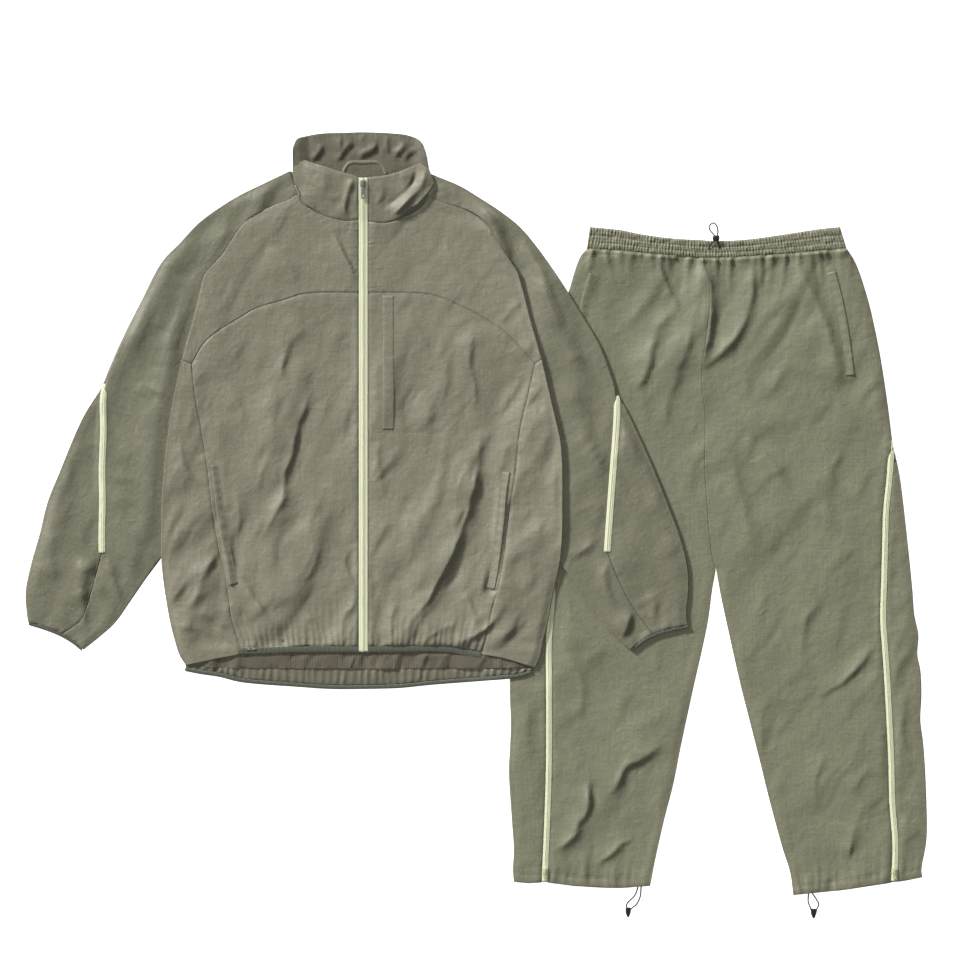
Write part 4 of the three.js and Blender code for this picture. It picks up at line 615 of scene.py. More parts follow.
def sleeve_height(side):
    outer = side["shoulder"] + side["sleeveOuter"][1:] + side["cuff"][1:]
    armhole = side["bodyEdge"][6:] + side["yokeEdge"][1:]
    on_left = side["sign"] > 0

    def height(x, y):
        silhouette = np.minimum(near(outer, x, y)[0], near(side["sleeveInner"], x, y)[0])
        body = near(armhole, x, y)[0]
        under = side["sign"] * (across(side["bodyEdge"] + side["yokeEdge"], y) - x) > 0
        tucked = np.where(under, 1, 1 - smooth(2, 16, body)) * (1 - smooth(582, 612, y)) * smooth(110, 135, y)
        calm = smooth(0, 16, silhouette) * smooth(2, 18, body) * smooth(5, 14, near(side["stripe"], x, y)[0])
        folds = (creases(SLEEVE_CREASES, x, y) + rumple(x, y, 17, 2.0 if on_left else 1.15)) * calm
        puffed = mix(EDGE_TOP, SLEEVE_TOP, smooth(0, ROLL, silhouette)) + folds
        if on_left:
            puffed = puffed + creases(ARMHOLE_FOLD, x, y) * smooth(0, 10, silhouette)
        else:
            near_edge = smooth(582, 560, y) * smooth(110, 150, y)
            puffed = puffed + 3.6 * smooth(2, 20, body) * np.exp(-np.maximum(body - 20, 0) / 34) * near_edge
        return above(mix(puffed, TUCK_TOP, tucked), FRONT_FLOOR) + lift(x, y)

    return height


def collar_height(side):
    neck, edge = [[(b, a) for a, b in side[key]] for key in ("neck", "collarEdge")]

    def height(x, y):
        start, end = across(neck, x), across(edge, x)
        t = np.clip((y - start) / (end - start), 0, 1)
        level = mix(mix(BODY_TOP + NECK_RISE, COLLAR_TOP, t), COLLAR_SIDE, smooth(58, 96, np.abs(x)))
        calm = smooth(8, 20, np.abs(x)) * smooth(1, 0.85, t)
        return level + (creases(COLLAR_CREASES, x, y) + 0.7 * rumple(x, y, 29)) * calm

    return height


JACKET_LEFT_OUTLINE = np.array(
    JACKET["left"]["bodyEdge"][:6] + JACKET["left"]["sleeveInner"][::-1] + JACKET["left"]["cuff"][::-1]
    + JACKET["left"]["sleeveOuter"][::-1] + JACKET["left"]["shoulder"][::-1] + [[0, 700], [0, -23]]
    + JACKET["left"]["bodyEdge"][:1]) + JACKET_FROM_TROUSERS


def covered(x, y):
    """1 where the jacket lies on the trousers, 0 outside it."""
    odd = np.zeros(np.shape(x), bool)
    for (ax, ay), (bx, by) in zip(JACKET_LEFT_OUTLINE[:-1], JACKET_LEFT_OUTLINE[1:]):
        if ay != by:
            odd ^= ((ay > y) != (by > y)) & (x < (bx - ax) * (y - ay) / (by - ay) + ax)
    far = near(JACKET_LEFT_OUTLINE, x, y)[0]
    return smooth(-40, -14, np.where(odd, far, -far))


def leg_height(side):
    def height(x, y):
        edge = near(side["outerLow"] + side["outerTop"], x, y)[0]
        inner = np.where(y < 0, near(side["inner"], x, y)[0], 1000)
        silhouette = np.minimum(edge, inner)
        calm = smooth(0, 16, silhouette) * smooth(5, 16, near(side["zip"], x, y)[0]) * smooth(481, 474, y)
        calm = calm * smooth(3, 14, near(side["pocket"], x, y)[0])
        calm = calm * mix(0.85, 1, smooth(0, 6, near(TROUSERS["centreSeam"], x, y)[0]))
        folds = creases(LEG_CREASES, x, y, 100) + mix(0.55, 0.85, smooth(40, 250, y)) * rumple(x, y, 51, 1.0)
        puffed = mix(EDGE_TOP, LEG_TOP, smooth(0, ROLL, silhouette)) + folds * calm
        return mix(above(puffed, FRONT_FLOOR), COVERED_TOP, covered(x, y))

    return height


# Making meshes

def finish_mesh(name, vertices, faces, material, uv=None, seam_shade_and_wear=None):
    mesh = bpy.data.meshes.new(name)
    mesh.from_pydata(vertices, [], faces)
    mesh.update()
    if uv is not None:
        layer = mesh.uv_layers.new(name="UVMap")
        corners = np.empty(len(mesh.loops), np.int32)
        mesh.loops.foreach_get("vertex_index", corners)
        layer.data.foreach_set("uv", np.asarray(uv, np.float32)[corners].ravel())
    if seam_shade_and_wear is not None:
        layer = mesh.attributes.new("seam_shade_and_wear", "FLOAT", "POINT")
        layer.data.foreach_set("value", np.asarray(seam_shade_and_wear, np.float32))
    mesh.polygons.foreach_set("use_smooth", np.ones(len(mesh.polygons), bool))
    mesh.materials.append(material)
    piece = bpy.data.objects.new(name, mesh)
    bpy.context.scene.collection.objects.link(piece)
    return piece


def grid_faces(rows, columns, start=0):
    base = (np.arange(rows - 1)[:, None] * columns + np.arange(columns - 1)[None]).ravel() + start
    return np.stack([base, base + 1, base + columns + 1, base + columns], axis=1)


def wall_from_grid(name, points, wall, material, uv, seam_shade_and_wear):
    """A closed thin wall whose upper face is a grid of points in millimetres."""
    rows, columns = points.shape[:2]
    facing = np.cross(np.gradient(points, axis=1), np.gradient(points, axis=0))
    if facing[..., 2].sum() < 0:
        points, uv, seam_shade_and_wear = points[:, ::-1], uv[:, ::-1], seam_shade_and_wear[:, ::-1]
        facing = -facing[:, ::-1]
    facing /= np.maximum(np.linalg.norm(facing, axis=2, keepdims=True), 1e-9)
    under = points - facing * wall
    under[..., 2] = np.maximum(under[..., 2], LOWEST_UNDER)
    count = rows * columns
    top = grid_faces(rows, columns)
    index = np.arange(count).reshape(rows, columns)
    loop = np.concatenate([index[0], index[1:, -1], index[-1, -2::-1], index[-2:0:-1, 0]])
    after = np.roll(loop, -1)
    rim = np.stack([after, loop, loop + count, after + count], axis=1)
    faces = np.vstack([top, top[:, ::-1] + count, rim])
    vertices = np.vstack([points.reshape(-1, 3), under.reshape(-1, 3)]) * MM
    piece = finish_mesh(name, vertices.tolist(), faces.tolist(), material,
                        np.vstack([uv.reshape(-1, 2)] * 2), np.concatenate([seam_shade_and_wear.ravel()] * 2))
    return piece, points


SKINS = {"jacket": [], "trousers": []}
LEAST_SIDE = 10.1  # of a sheet's flat size
LEAST_SHARE = 0.31  # of the flat size that a sheet's cloth fills


def shares_for(long, step):
    """Even shares with one close to each end, where a seam dips."""
    count = max(2, math.ceil(long / step))
    edge = min(1.3 / long, 0.3 / count)
    return np.unique(np.concatenate([np.linspace(0, 1, count + 1), [edge, 1 - edge]]))


def panel(garment, name, node, edges, height, cloth, step, seams="LRBT", folded="", floor=None,
          wall=0.5, turn=0.0, held="laid", dip=0.9, pucker=0.4, rests_on=()):
    """A piece of cloth between four edges, sewn at some and rolled down where the cloth is folded."""
    left, right, bottom, top = edges
    rows = shares_for(max(length_of(left), length_of(right)), step)
    columns = shares_for(max(length_of(bottom), length_of(top)), step)
    u, v = columns[None, :, None], rows[:, None, None]
    l, r = at(left, rows)[:, None], at(right, rows)[:, None]
    b, t = at(bottom, columns)[None], at(top, columns)[None]
    corners = mix(mix(bottom[0], bottom[-1], u), mix(top[0], top[-1], u), v)
    plan = mix(l, r, u) + mix(b, t, v) - corners
    x, y = plan[..., 0], plan[..., 1]
    shape = x.shape
    z = height(x, y, np.broadcast_to(columns[None], shape), np.broadcast_to(rows[:, None], shape))
    z = np.array(np.broadcast_to(z, shape), float)
    steps_across = np.linalg.norm(np.diff(plan, axis=1), axis=2)
    steps_up = np.linalg.norm(np.diff(plan, axis=0), axis=2)
    from_left = np.pad(np.cumsum(steps_across, axis=1), ((0, 0), (1, 0)))
    from_bottom = np.pad(np.cumsum(steps_up, axis=0), ((1, 0), (0, 0)))
    far = {"L": from_left, "R": from_left[:, -1:] - from_left,
           "B": from_bottom, "T": from_bottom[-1:] - from_bottom}
    seam_shade_and_wear = np.full(shape, 0.5)
    for edge in seams:
        run = (from_bottom[:, :1] if edge in "LR" else from_left[:1]) + 0 * z
        inward = far[edge]
        wave = noise(run, inward * 0.3, 9, len(name)) + 0.6 * noise(run, inward * 0.3, 21, 3)
        uneven = 0.6 + 0.5 * noise(run, 0 * z, 50, len(name) + 7)
        z += 2.4 * pucker * wave * uneven * np.exp(-inward / 13) * smooth(0, 1.5, inward)
        z -= dip * np.exp(-(inward / 1.6) ** 2)
        # Painted shade: the cloth's colour is darkened along each sewn edge, where the seam dips
        seam_shade_and_wear -= 0.13 * np.exp(-(inward / 1.3) ** 2)
    points = np.dstack([x, y, z])
    uv = np.dstack([x * math.cos(turn) + y * math.sin(turn), y * math.cos(turn) - x * math.sin(turn)]) * MM
    flat_area = float(np.linalg.norm(np.cross(points[1:, 1:] - points[:-1, :-1],
                                              points[1:, :-1] - points[:-1, 1:]), axis=2).sum() / 2)
    for edge in folded:
        points, uv, seam_shade_and_wear = roll_down(points, uv, seam_shade_and_wear, edge, floor)
    points = points + np.array([*GARMENT_AT[garment], 0])
    points[..., 2] = np.maximum(points[..., 2], LOWEST_TOP)
    piece, points = wall_from_grid(name, points, wall, finishes()[cloth], uv, np.clip(seam_shade_and_wear, 0, 1))
    SKINS[garment].append(points)
    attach(piece, GARMENTS)
    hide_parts(node)
    ease = GATHER_EASE if held == "gathered" else 1
    wide = max(from_left[:, -1].max() * ease + 2, LEAST_SIDE)
    long = max(from_bottom[-1].max() + 2, LEAST_SIDE)
    area = min(flat_area * (0.998 + 0.4 * (ease - 1)), wide * long)
    area = max(area, LEAST_SHARE * wide * long) * MM * MM
    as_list(rests_on)


def roll_down(points, uv, seam_shade_and_wear, edge, floor):
    """Adds rows that carry an edge round the fold and down to what lies under it."""
    def turned(a):
        a = a.swapaxes(0, 1) if edge in "LR" else a
        return a[::-1] if edge in "RT" else a

    def back(a):
        a = a[::-1] if edge in "RT" else a
        return a.swapaxes(0, 1) if edge in "LR" else a

    points, uv, seam_shade_and_wear = turned(points), turned(uv), turned(seam_shade_and_wear)
    first, second = points[0], points[2]
    out = first[:, :2] - second[:, :2]
    out /= np.maximum(np.linalg.norm(out, axis=1), 1e-6)[:, None]
    drop = np.maximum(first[:, 2] - floor(first[:, 0], first[:, 1]), 0.2)
    extra = []
    for down, ease in ((1.0, 0), (0.35, 0), (0.0, 0.25)):
        bulge = math.sin(math.pi * min(down + 0.12, 1) * 0.8) - 0.4
        extra.append(np.column_stack([first[:, :2] + out * bulge, first[:, 2] - drop * down - ease]))
    points = np.concatenate([np.array(extra), points])
    uv = np.concatenate([np.repeat(uv[:1], 3, axis=0), uv])
    # The folded edge is a little lighter, as worn
    seam_shade_and_wear = np.concatenate([np.clip(np.repeat(seam_shade_and_wear[:1], 3, axis=0) + 0.05, 0, 1), seam_shade_and_wear])
    return back(points), back(uv), back(seam_shade_and_wear)


TREES = {}
OVER_ALL = 60  # a height over the whole suit


def drape(garment, places):
    """Heights of a garment's cloth in millimetres at places in the part's frame."""
    if garment not in TREES:
        vertices, faces, start = [], [], 0
        for points in SKINS[garment]:
            rows, columns = points.shape[:2]
            vertices.append(points.reshape(-1, 3))
            faces.append(grid_faces(rows, columns, start))
            start += rows * columns
        TREES[garment] = BVHTree.FromPolygons(np.vstack(vertices).tolist(), np.vstack(faces).tolist())
    down = Vector((0, 0, -1))
    hits = [TREES[garment].ray_cast(Vector((x, y, OVER_ALL)), down)[0] for x, y in places]
    heights = np.array([hit.z if hit else math.nan for hit in hits])
    known = ~np.isnan(heights)
    index = np.arange(len(heights))
    return np.interp(index, index[known], heights[known]) if known.any() else np.full(len(heights), 1.0)


def strip(garment, name, node, line, offsets, profile, cloth, step=3.0, base=None, wall=0.8, uneven=0.0,
          outline=None, outer=1):
    """A tape or welt along a line: offsets are its columns' places across, and profile(d) is its height."""
    rows = max(3, math.ceil(length_of(line) / step))
    line = at(line, np.linspace(0, 1, rows + 1))
    garment_at = np.array(GARMENT_AT[garment])
    halves = (1.0, 1.0)
    if outline is not None:
        halves = [h / offsets[-1] for h in tape_halves(line, outline, offsets[-1])]
    columns = np.stack([beside(line, -d * halves[int(d * outer > 0)]) for d in offsets], axis=1)
    flat = (columns + garment_at).reshape(-1, 2)
    if base is None:
        level = drape(garment, flat).reshape(columns.shape[:2])
        level[1:-1] = (level[:-2] + level[1:-1] * 2 + level[2:]) / 4
        level = np.maximum(level, level.mean(axis=1, keepdims=True) - 0.2)
    else:
        level = base(columns[..., 0], columns[..., 1])
    run = distances(line)
    wobble = uneven * np.cos(run * 2 * math.pi / 13 + 2 * np.sin(run / 29))[:, None]
    z = level + np.array([profile(d) for d in offsets])[None] + wobble
    points = np.dstack([columns + garment_at, z])
    uv = np.dstack(np.broadcast_arrays(np.array(offsets)[None], run[:, None])) * MM
    seam_shade_and_wear = np.full(z.shape, 0.5)
    piece = wall_from_grid(name, points, wall, finishes()[cloth], uv, seam_shade_and_wear)[0]
    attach(piece, GARMENTS)
    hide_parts(node)
    wide, long = (offsets[-1] - offsets[0]) * MM, run[-1] * MM
    max(wide, LEAST_SIDE * MM)


def columns_across(half, *near_end):
    """Columns' places across a strip, closer together at its edges."""
    start = [-half, -half + 0.25, -half + 0.8, -half * 0.5, 0, half * 0.5]
    return start + [half - d for d in near_end] + [half]


def soft_edge(half, thick):
    """The cross-section of a strip with rounded edges, and its columns' places."""
    return columns_across(half, 0.8, 0.25), lambda d: thick * smooth(half + 0.25, half - 0.8, abs(d)) + 0.1


def welt_edge(half, thick, side):
    """The cross-section of a pocket welt that lies flush on one side and opens on the other."""
    def profile(d):
        rise = smooth(-half, half * 0.7, d * side)
        return 0.1 + thick * rise * smooth(half + 0.1, half - 0.6, d * side)

    return sorted(d * side for d in columns_across(half, 1.4, 0.6, 0.2)), profile


class Sewing:
    """Collects stitches and joins them into one mesh for each garment."""
    lines = {"jacket": [], "trousers": []}

    @classmethod
    def row(cls, garment, line, *offsets):
        """Adds a row on the line, or one at each of the offsets to its left."""
        cls.lines[garment] += [beside(line, offset) for offset in offsets] or [line]

    @classmethod
    def build(cls, garment, material, slot):
        long, wide, tall, pitch = 2.3, 0.55, 0.34, 3.1  # of one stitch
        shape = [(-0.5, 0, 0)] + [(t, c * 0.5, s * 0.5) for t in (-0.28, 0.28)
                                  for c, s in ((1, 0), (0, 1), (-1, 0), (0, -1))] + [(0.5, 0, 0)]
        shape = np.array(shape) * (long, wide, tall)
        sides = [(0, 2, 1), (0, 3, 2), (0, 4, 3), (0, 1, 4), (9, 5, 6), (9, 6, 7), (9, 7, 8), (9, 8, 5),
                 (1, 2, 6, 5), (2, 3, 7, 6), (3, 4, 8, 7), (4, 1, 5, 8)]
        vertices, faces = [], []
        for line in cls.lines[garment]:
            count = int(length_of(line) / pitch)
            middle = at(line, (np.arange(count) + 0.5) / count)
            places = middle + GARMENT_AT[garment]
            height = drape(garment, places)
            slope = np.gradient(height) / pitch
            for (x, y), (rx, ry), z, tilt in zip(places, directions(middle), height, slope):
                start = len(vertices)
                for a, b, c in shape:
                    vertices.append((x + rx * a - ry * b, y + ry * a + rx * b, z + 0.08 + c + tilt * a))
                faces += [[start + i for i in side] for side in sides]
        vertices = np.array(vertices) * MM
        piece = finish_mesh(f"{garment}_topstitching", vertices.tolist(), faces, material, vertices[:, :2])
        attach(piece, GARMENTS)


def coil(name, line, level):
    """The coil's turns seen through a zip: small ribs that lean in turn to either side."""
    pitch, inner, half, lean = 1.3, 0.22, 1.5, 0.34
    fall = 0.14  # of a rib's outer end
    count = int(length_of(line) / pitch)
    middle = at(line, (np.arange(count) + 0.5) / count)
    vertices, faces = [], []
    section = [(-0.42, 0.0), (-0.25, 0.28), (0.25, 0.28), (0.42, 0.0)]
    quads = [(0, 1, 5, 4), (1, 2, 6, 5), (2, 3, 7, 6), (0, 3, 2, 1), (4, 5, 6, 7), (0, 4, 7, 3)]
    for (x, y), (rx, ry) in zip(middle, directions(middle)):
        z = float(level(np.array(x), np.array(y)))
        for side in (-1, 1):
            start = len(vertices)
            for b, leaned, lower in ((inner * side, 0, 0), (half * side, lean, fall)):
                for along, up in section:
                    a = along + leaned
                    vertices.append((x + rx * a - ry * b, y + ry * a + rx * b, z + up - lower))
            faces += [[start + i for i in (quad if side < 0 else quad[::-1])] for quad in quads]
    vertices = np.array(vertices) * MM
    piece = finish_mesh(name, vertices.tolist(), faces, finishes()["coil"], vertices[:, :2])
    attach(piece, GARMENTS)


def tuck_line(side, rows):
    """Where the sleeve ends under the body, from the armpit up to the raglan seam."""
    over = spline(side["bodyEdge"][6:] + side["yokeEdge"][1:], rows)
    share = np.linspace(0, 1, rows + 1)
    over[:, 0] -= side["sign"] * TUCK * smooth(0, 0.07, share) * smooth(0, 0.12, 1 - share)
    return over


def jacket_lines(word):
    """The seam lines and outlines of one side of the jacket, as finely spaced points."""
    side = JACKET[word]
    counts = {"yoke_seam": ("yokeSeam", 8), "side_seam": ("sideSeam", 18), "edge": ("bodyEdge", 18),
              "hem": ("hem", 8), "raglan": ("raglan", 7), "neck": ("neck", 9), "stripe": ("stripe", 7),
              "cuff_edge": ("cuff", 10), "inner": ("sleeveInner", 7)}
    line = {name: spline(side[key], rows * FINE) for name, (key, rows) in counts.items()}
    line["side"] = side
    line["middle"] = side["sign"] * (ZIP_HALF + CLEAR)
    line["above"] = line["hem"] + (0, HEM_BINDING - 3)
    line["cuff"] = line["cuff_edge"] + (0, CUFF_BINDING)
    line["at_seam"] = 6 * FINE
    under = spline([line["cuff"][line["at_seam"]]] + side["underStripe"][1:], 5 * FINE)
    line["seam"] = join(under, line["stripe"], straight(side["stripe"][-1], side["shoulder"][-1], FINE))
    line["inner"][0] = line["cuff"][-1]
    line["tuck"] = tuck_line(side, 12 * FINE)
    return line


def size_property(name, description, value, least, most, **more):
    return bpy.props.FloatProperty(name=name, description=description, default=value, min=least, max=most,
                                   **more)


class TracksuitSizes(bpy.types.PropertyGroup):
    """Sizes that a user may change."""
    grid: size_property("Cloth grid", "Spacing of points on the upper cloth, in millimetres", 3.3, 2.5, 12)
    back_grid: size_property("Back grid", "Spacing of points on the lower cloth, in millimetres", 7, 3, 20)
    cloth_wall: size_property("Cloth wall", "Thickness of the cloth, in millimetres", 0.5, 0.2, 1.5)
    seam_dip: size_property("Seam dip", "How far a sewn edge sinks, in millimetres", 0.8, 0, 2)
    camera_height: size_property("Camera height", "How far over the surface it is", 5, 2, 20, unit="LENGTH")
    picture_width: size_property("Picture width", "Width of what it sees", 1.469, 0.5, 5, unit="LENGTH")


def colour_property(name, description, value):
    return bpy.props.StringProperty(name=name, description=description, default=value)


class TracksuitColours(bpy.types.PropertyGroup):
    """Colours as sRGB hex values."""
    jacket: colour_property("Jacket cloth", "Olive-grey nylon of the body", "#7D7A67")
    sleeve: colour_property("Sleeve cloth", "Nylon of the sleeves, a shade darker", "#73715D")
    # The inside colour is darker partly as a duller inner face and partly as painted shade inside the collar
    inside: colour_property("Inside of the cloth", "Duller inner face of the jacket's nylon", "#6A6756")
    trousers: colour_property("Trouser cloth", "Olive-grey nylon of the trousers", "#797862")
    binding: colour_property("Binding", "Grey-green elastic binding", "#555A4B")
    tape: colour_property("Zip tape", "Pale lime zips and stripes", "#DEE0BE")
    coil: colour_property("Zip coil", "Coil of the zips, a shade darker", "#CDCEAA")
    # The mesh's brown is taken darker partly as painted shade, for the shade it lies in under the front hem
    mesh: colour_property("Mesh lining", "Brownish knitted mesh", "#6F6856")
    metal: colour_property("Zip slider", "Plated zinc", "#999A95")
    cord: colour_property("Cord", "Near-black cord and fittings", "#20201E")


def linear(value):
    """An sRGB hex value as linear colour."""
    parts = [int(value[i:i + 2], 16) / 255 for i in (1, 3, 5)]
    return [p / 12.92 if p <= 0.04045 else ((p + 0.055) / 1.055) ** 2.4 for p in parts] + [1.0]


def shade(value, factor):
    return [min(part * factor, 1) for part in linear(value)[:3]] + [1.0]


def fill(tree, node, inputs):
    """Sets a node's inputs: each is a value or another node's output."""
    for key, value in inputs.items():
        if isinstance(value, bpy.types.NodeSocket):
            tree.links.new(value, node.inputs[key])
        else:
            node.inputs[key].default_value = value


def add_node(tree, kind, inputs=None, **settings):
    made = tree.nodes.new("ShaderNode" + kind)
    for key, value in settings.items():
        setattr(made, key, value)
    fill(tree, made, inputs or {})
    return made


def speckle(tree, place, size, detail=2.0, stretch=None, kind="FBM", **more):
    """Noise with grains of a size in metres, drawn out along an axis where it is stretched."""
    if stretch:
        place = add_node(tree, "Mapping", {"Vector": place, "Scale": stretch}).outputs[0]
    inputs = {"Vector": place, "Scale": 1 / size, "Detail": detail, **more}
    return add_node(tree, "TexNoise", inputs, noise_type=kind).outputs["Fac"]


def combined(tree, a, b, operation="MULTIPLY"):
    return add_node(tree, "Math", {0: a, 1: b}, operation=operation).outputs[0]


def ranged(tree, value, low, high, start, end):
    """A value from low to high as one from start to end."""
    return add_node(tree, "MapRange", {"Value": value, "From Min": low, "From Max": high, "To Min": start,
                                       "To Max": end}).outputs[0]


def tinted(tree, colour, share, dark, light):
    """A colour between a darker and a lighter shade of itself."""
    inputs = {"Factor": share, 6: shade(colour, dark), 7: shade(colour, light)}
    return add_node(tree, "Mix", inputs, data_type="RGBA").outputs[2]


def scaled(tree, colour, factor):
    return add_node(tree, "VectorMath", {0: colour, "Scale": factor}, operation="SCALE").outputs[0]


def bump(tree, height, strength, distance, **below):
    inputs = {"Height": height, "Strength": strength, "Distance": distance, **below}
    return add_node(tree, "Bump", inputs).outputs[0]


def made_once(inputs_of):
    """A material that is made from its surface's inputs the first time, and found again afterwards."""
    def material(name, *values):
        found = bpy.data.materials.get(name)
        if not found:
            found = bpy.data.materials.new(name)
            found.use_nodes = True
            tree = found.node_tree
            fill(tree, tree.nodes["Principled BSDF"], inputs_of(tree, *values))
        return found

    return material


@made_once
def nylon(tree, colour, crinkle=1.0):
    # Nylon taffeta, woven from flat filament and washed: a soft sheen, and fine crinkles that catch the light
    place = add_node(tree, "TexCoord").outputs["UV"]
    seam_shade_and_wear = add_node(tree, "Attribute", attribute_name="seam_shade_and_wear").outputs["Fac"]
    blotch = speckle(tree, place, 0.045, 4.0, Roughness=0.6)
    speck = speckle(tree, place, 0.0035, 3.0, Roughness=0.7)
    warp = speckle(tree, place, 0.003, stretch=(1.0, 0.06, 1.0))
    weft = speckle(tree, place, 0.0026, stretch=(0.08, 1.0, 1.0))
    streaks = combined(tree, combined(tree, warp, weft), speck, "ADD")
    base = tinted(tree, colour, ranged(tree, blotch, 0.3, 0.7, 0.0, 1.0), 0.93, 1.06)
    grained = scaled(tree, base, ranged(tree, streaks, 0.5, 1.0, 0.86, 1.14))
    # The seam attribute darkens the colour along seams as painted shade, and lightens folded edges a little
    # as wear
    seam_shaded_and_worn = scaled(tree, grained, ranged(tree, seam_shade_and_wear, 0.0, 1.0, 0.62, 1.38))
    # Soft crinkles and sharp ridges about 15 mm apart, and a fine weave drawn at 1.6 mm so that it shows
    crease = speckle(tree, place, 0.013, 8.0, Roughness=0.6)
    crimp = speckle(tree, place, 0.016, 3.0, kind="RIDGED_MULTIFRACTAL", Roughness=0.6, Distortion=0.6)
    fibre = speckle(tree, place, 0.0016, stretch=(1.0, 0.22, 1.0))
    low = bump(tree, crease, 0.5 * crinkle, 0.0022)
    middle = bump(tree, crimp, 0.45 * crinkle, 0.0011, Normal=low)
    high = bump(tree, fibre, 0.3, 0.0003, Normal=middle)
    return {"Base Color": seam_shaded_and_worn, "Normal": high, "Roughness": 0.58, "IOR": 1.53, "Sheen Weight": 0.12,
            "Sheen Roughness": 0.45}


@made_once
def woven(tree, colour, rib, roughness=0.75, contrast=0.14):
    # Woven or knitted narrow goods: ribs along the piece's own length, softly uneven
    place = add_node(tree, "TexCoord").outputs["UV"]
    waves = {"Vector": place, "Scale": 1 / rib / 6.283 * 2}
    ribs = add_node(tree, "TexWave", {**waves, "Distortion": 1.2, "Detail": 2.0, "Detail Scale": 1.5},
                    bands_direction="Y").outputs["Fac"]
    cross = add_node(tree, "TexWave", {**waves, "Distortion": 0.6}, bands_direction="X").outputs["Fac"]
    weave = combined(tree, ribs, cross)
    both = combined(tree, weave, speckle(tree, place, 0.004, 3.0))
    return {"Base Color": tinted(tree, colour, both, 1 - contrast, 1 + 0.8 * contrast),
            "Normal": bump(tree, weave, 0.5, 0.0003), "Roughness": roughness, "Sheen Weight": 0.1}


@made_once
def moulded(tree, colour, roughness, metallic=0.0):
    # Cast or moulded fittings: a faint grain from the mould that roughens them unevenly, and patches of
    # uneven tone
    place = add_node(tree, "TexCoord").outputs["Object"]
    grain = speckle(tree, place, 0.0006, 3.0)
    patch = speckle(tree, place, 0.006)
    return {"Base Color": tinted(tree, colour, patch, 0.82, 1.15), "Metallic": metallic,
            "Roughness": ranged(tree, grain, 0.0, 1.0, roughness - 0.08, roughness + 0.1),
            "Normal": bump(tree, grain, 0.2, 0.0001)}


@made_once
def board(tree):
    # A matt white board, lit a little from within as in a cut-out picture
    grain = add_node(tree, "TexNoise", {"Scale": 400.0, "Detail": 2.0}).outputs["Fac"]
    return {"Base Color": tinted(tree, "#FFFFFF", grain, 0.93, 0.97), "Roughness": 0.9,
            "Emission Color": (1, 1, 1, 1), "Emission Strength": 0.9}


def finishes():
    """Every material of the suit, by use."""
    colour = bpy.context.scene.tracksuit_colours
    return {
        "jacket": nylon("nylon_taffeta_body", colour.jacket),
        "sleeve": nylon("nylon_taffeta_sleeve", colour.sleeve),
        "trousers": nylon("nylon_taffeta_trousers", colour.trousers),
        # A darker copy of the nylon: partly a duller inner face, partly painted shade inside the collar
        "inner": nylon("nylon_taffeta_inside", colour.inside, 0.7),
        "binding": woven("elastic_rib_binding", colour.binding, 0.0014),
        "tape": woven("polyester_zip_tape", colour.tape, 0.0011, 0.7, 0.05),
        "coil": woven("nylon_zip_coil", colour.coil, 0.0013, 0.45, 0.06),
        "mesh": woven("polyester_mesh_knit", colour.mesh, 0.0012),
        "cord": woven("braided_polyester_cord", colour.cord, 0.0012, 0.8),
        "thread": woven("spun_polyester_thread", colour.sleeve, 0.0008, 0.7),
        "zinc": moulded("plated_cast_zinc", colour.metal, 0.38, 0.55),
        "pale": moulded("lacquered_cast_zinc", colour.coil, 0.4, 0.2),
        "plastic": moulded("moulded_acetal", colour.cord, 0.42),
    }


def front_floor(x, y):
    """What the front's folded edge rolls down to: the tucked sleeve above the armpit, the surface below."""
    return mix(ROLLED_TO, TUCK_TOP + 0.1, smooth(118, 140, y)) + lift(x, y)


def surface_level(x, y):
    return ROLLED_TO + 0 * x


class TRACKSUIT_OT_jacket_body(bpy.types.Operator):
    """Makes the jacket's fronts, side panels and yokes"""
    bl_idname = "tracksuit.jacket_body"
    bl_label = "Jacket body"

    def execute(self, context):
        sizes = context.scene.tracksuit_sizes
        options = {"cloth": "jacket", "step": sizes.grid,
                   "wall": sizes.cloth_wall, "dip": sizes.seam_dip, "floor": front_floor}
        for word in SIDES:
            lines = jacket_lines(word)
            side, middle = lines["side"], lines["middle"]
            body = body_height(side)
            edge, seam, hem, yoke = lines["edge"], lines["side_seam"], lines["above"], lines["yoke_seam"]
            corner = np.array([[seam[0][0], hem[0][1]]])

            def front(x, y, u, v):
                up = np.maximum(y - (HEM_BINDING - 3), 0)
                reach = mix(8, 38, np.clip(0.5 + 0.8 * noise(x, y, 40, 5), 0, 1))
                share = np.exp(-up / reach) * smooth(-1, 4, near(hem, x, y)[0])
                slant = x + 0.35 * up * noise(x, y, 70, 15)
                tucks = gathers(19, u + 0.02 * noise(x, y, 30, 2), side["sign"])
                return body(x, y) + (1.7 * tucks + 2.6 * noise(slant, y * 0.3, 15, 6)) * share

            panel("jacket", f"body_front_{word}", f"front_{word}",
                  (join(corner, seam), straight((middle, hem[-1][1]), (middle, YOKE_AT_ZIP), 18 * FINE),
                   join(corner, hem), yoke), front, **options)
            panel("jacket", f"body_side_{word}", f"front_side_{word}",
                  (edge, seam, spline(side["sideHem"], 3 * FINE), straight(edge[-1], seam[-1], FINE)),
                  lambda x, y, u, v: body(x, y), seams="RT", folded="L", **options)
            panel("jacket", f"body_yoke_{word}", f"front_yoke_{word}",
                  (join(spline(side["yokeEdge"], 5 * FINE), lines["raglan"]),
                   straight((middle, YOKE_AT_ZIP), (middle, side["neck"][-1][1]), 12 * FINE),
                   join(straight(edge[-1], yoke[0], FINE), yoke), lines["neck"]),
                  lambda x, y, u, v: body(x, y), pucker=0.25, **options)
        return {"FINISHED"}


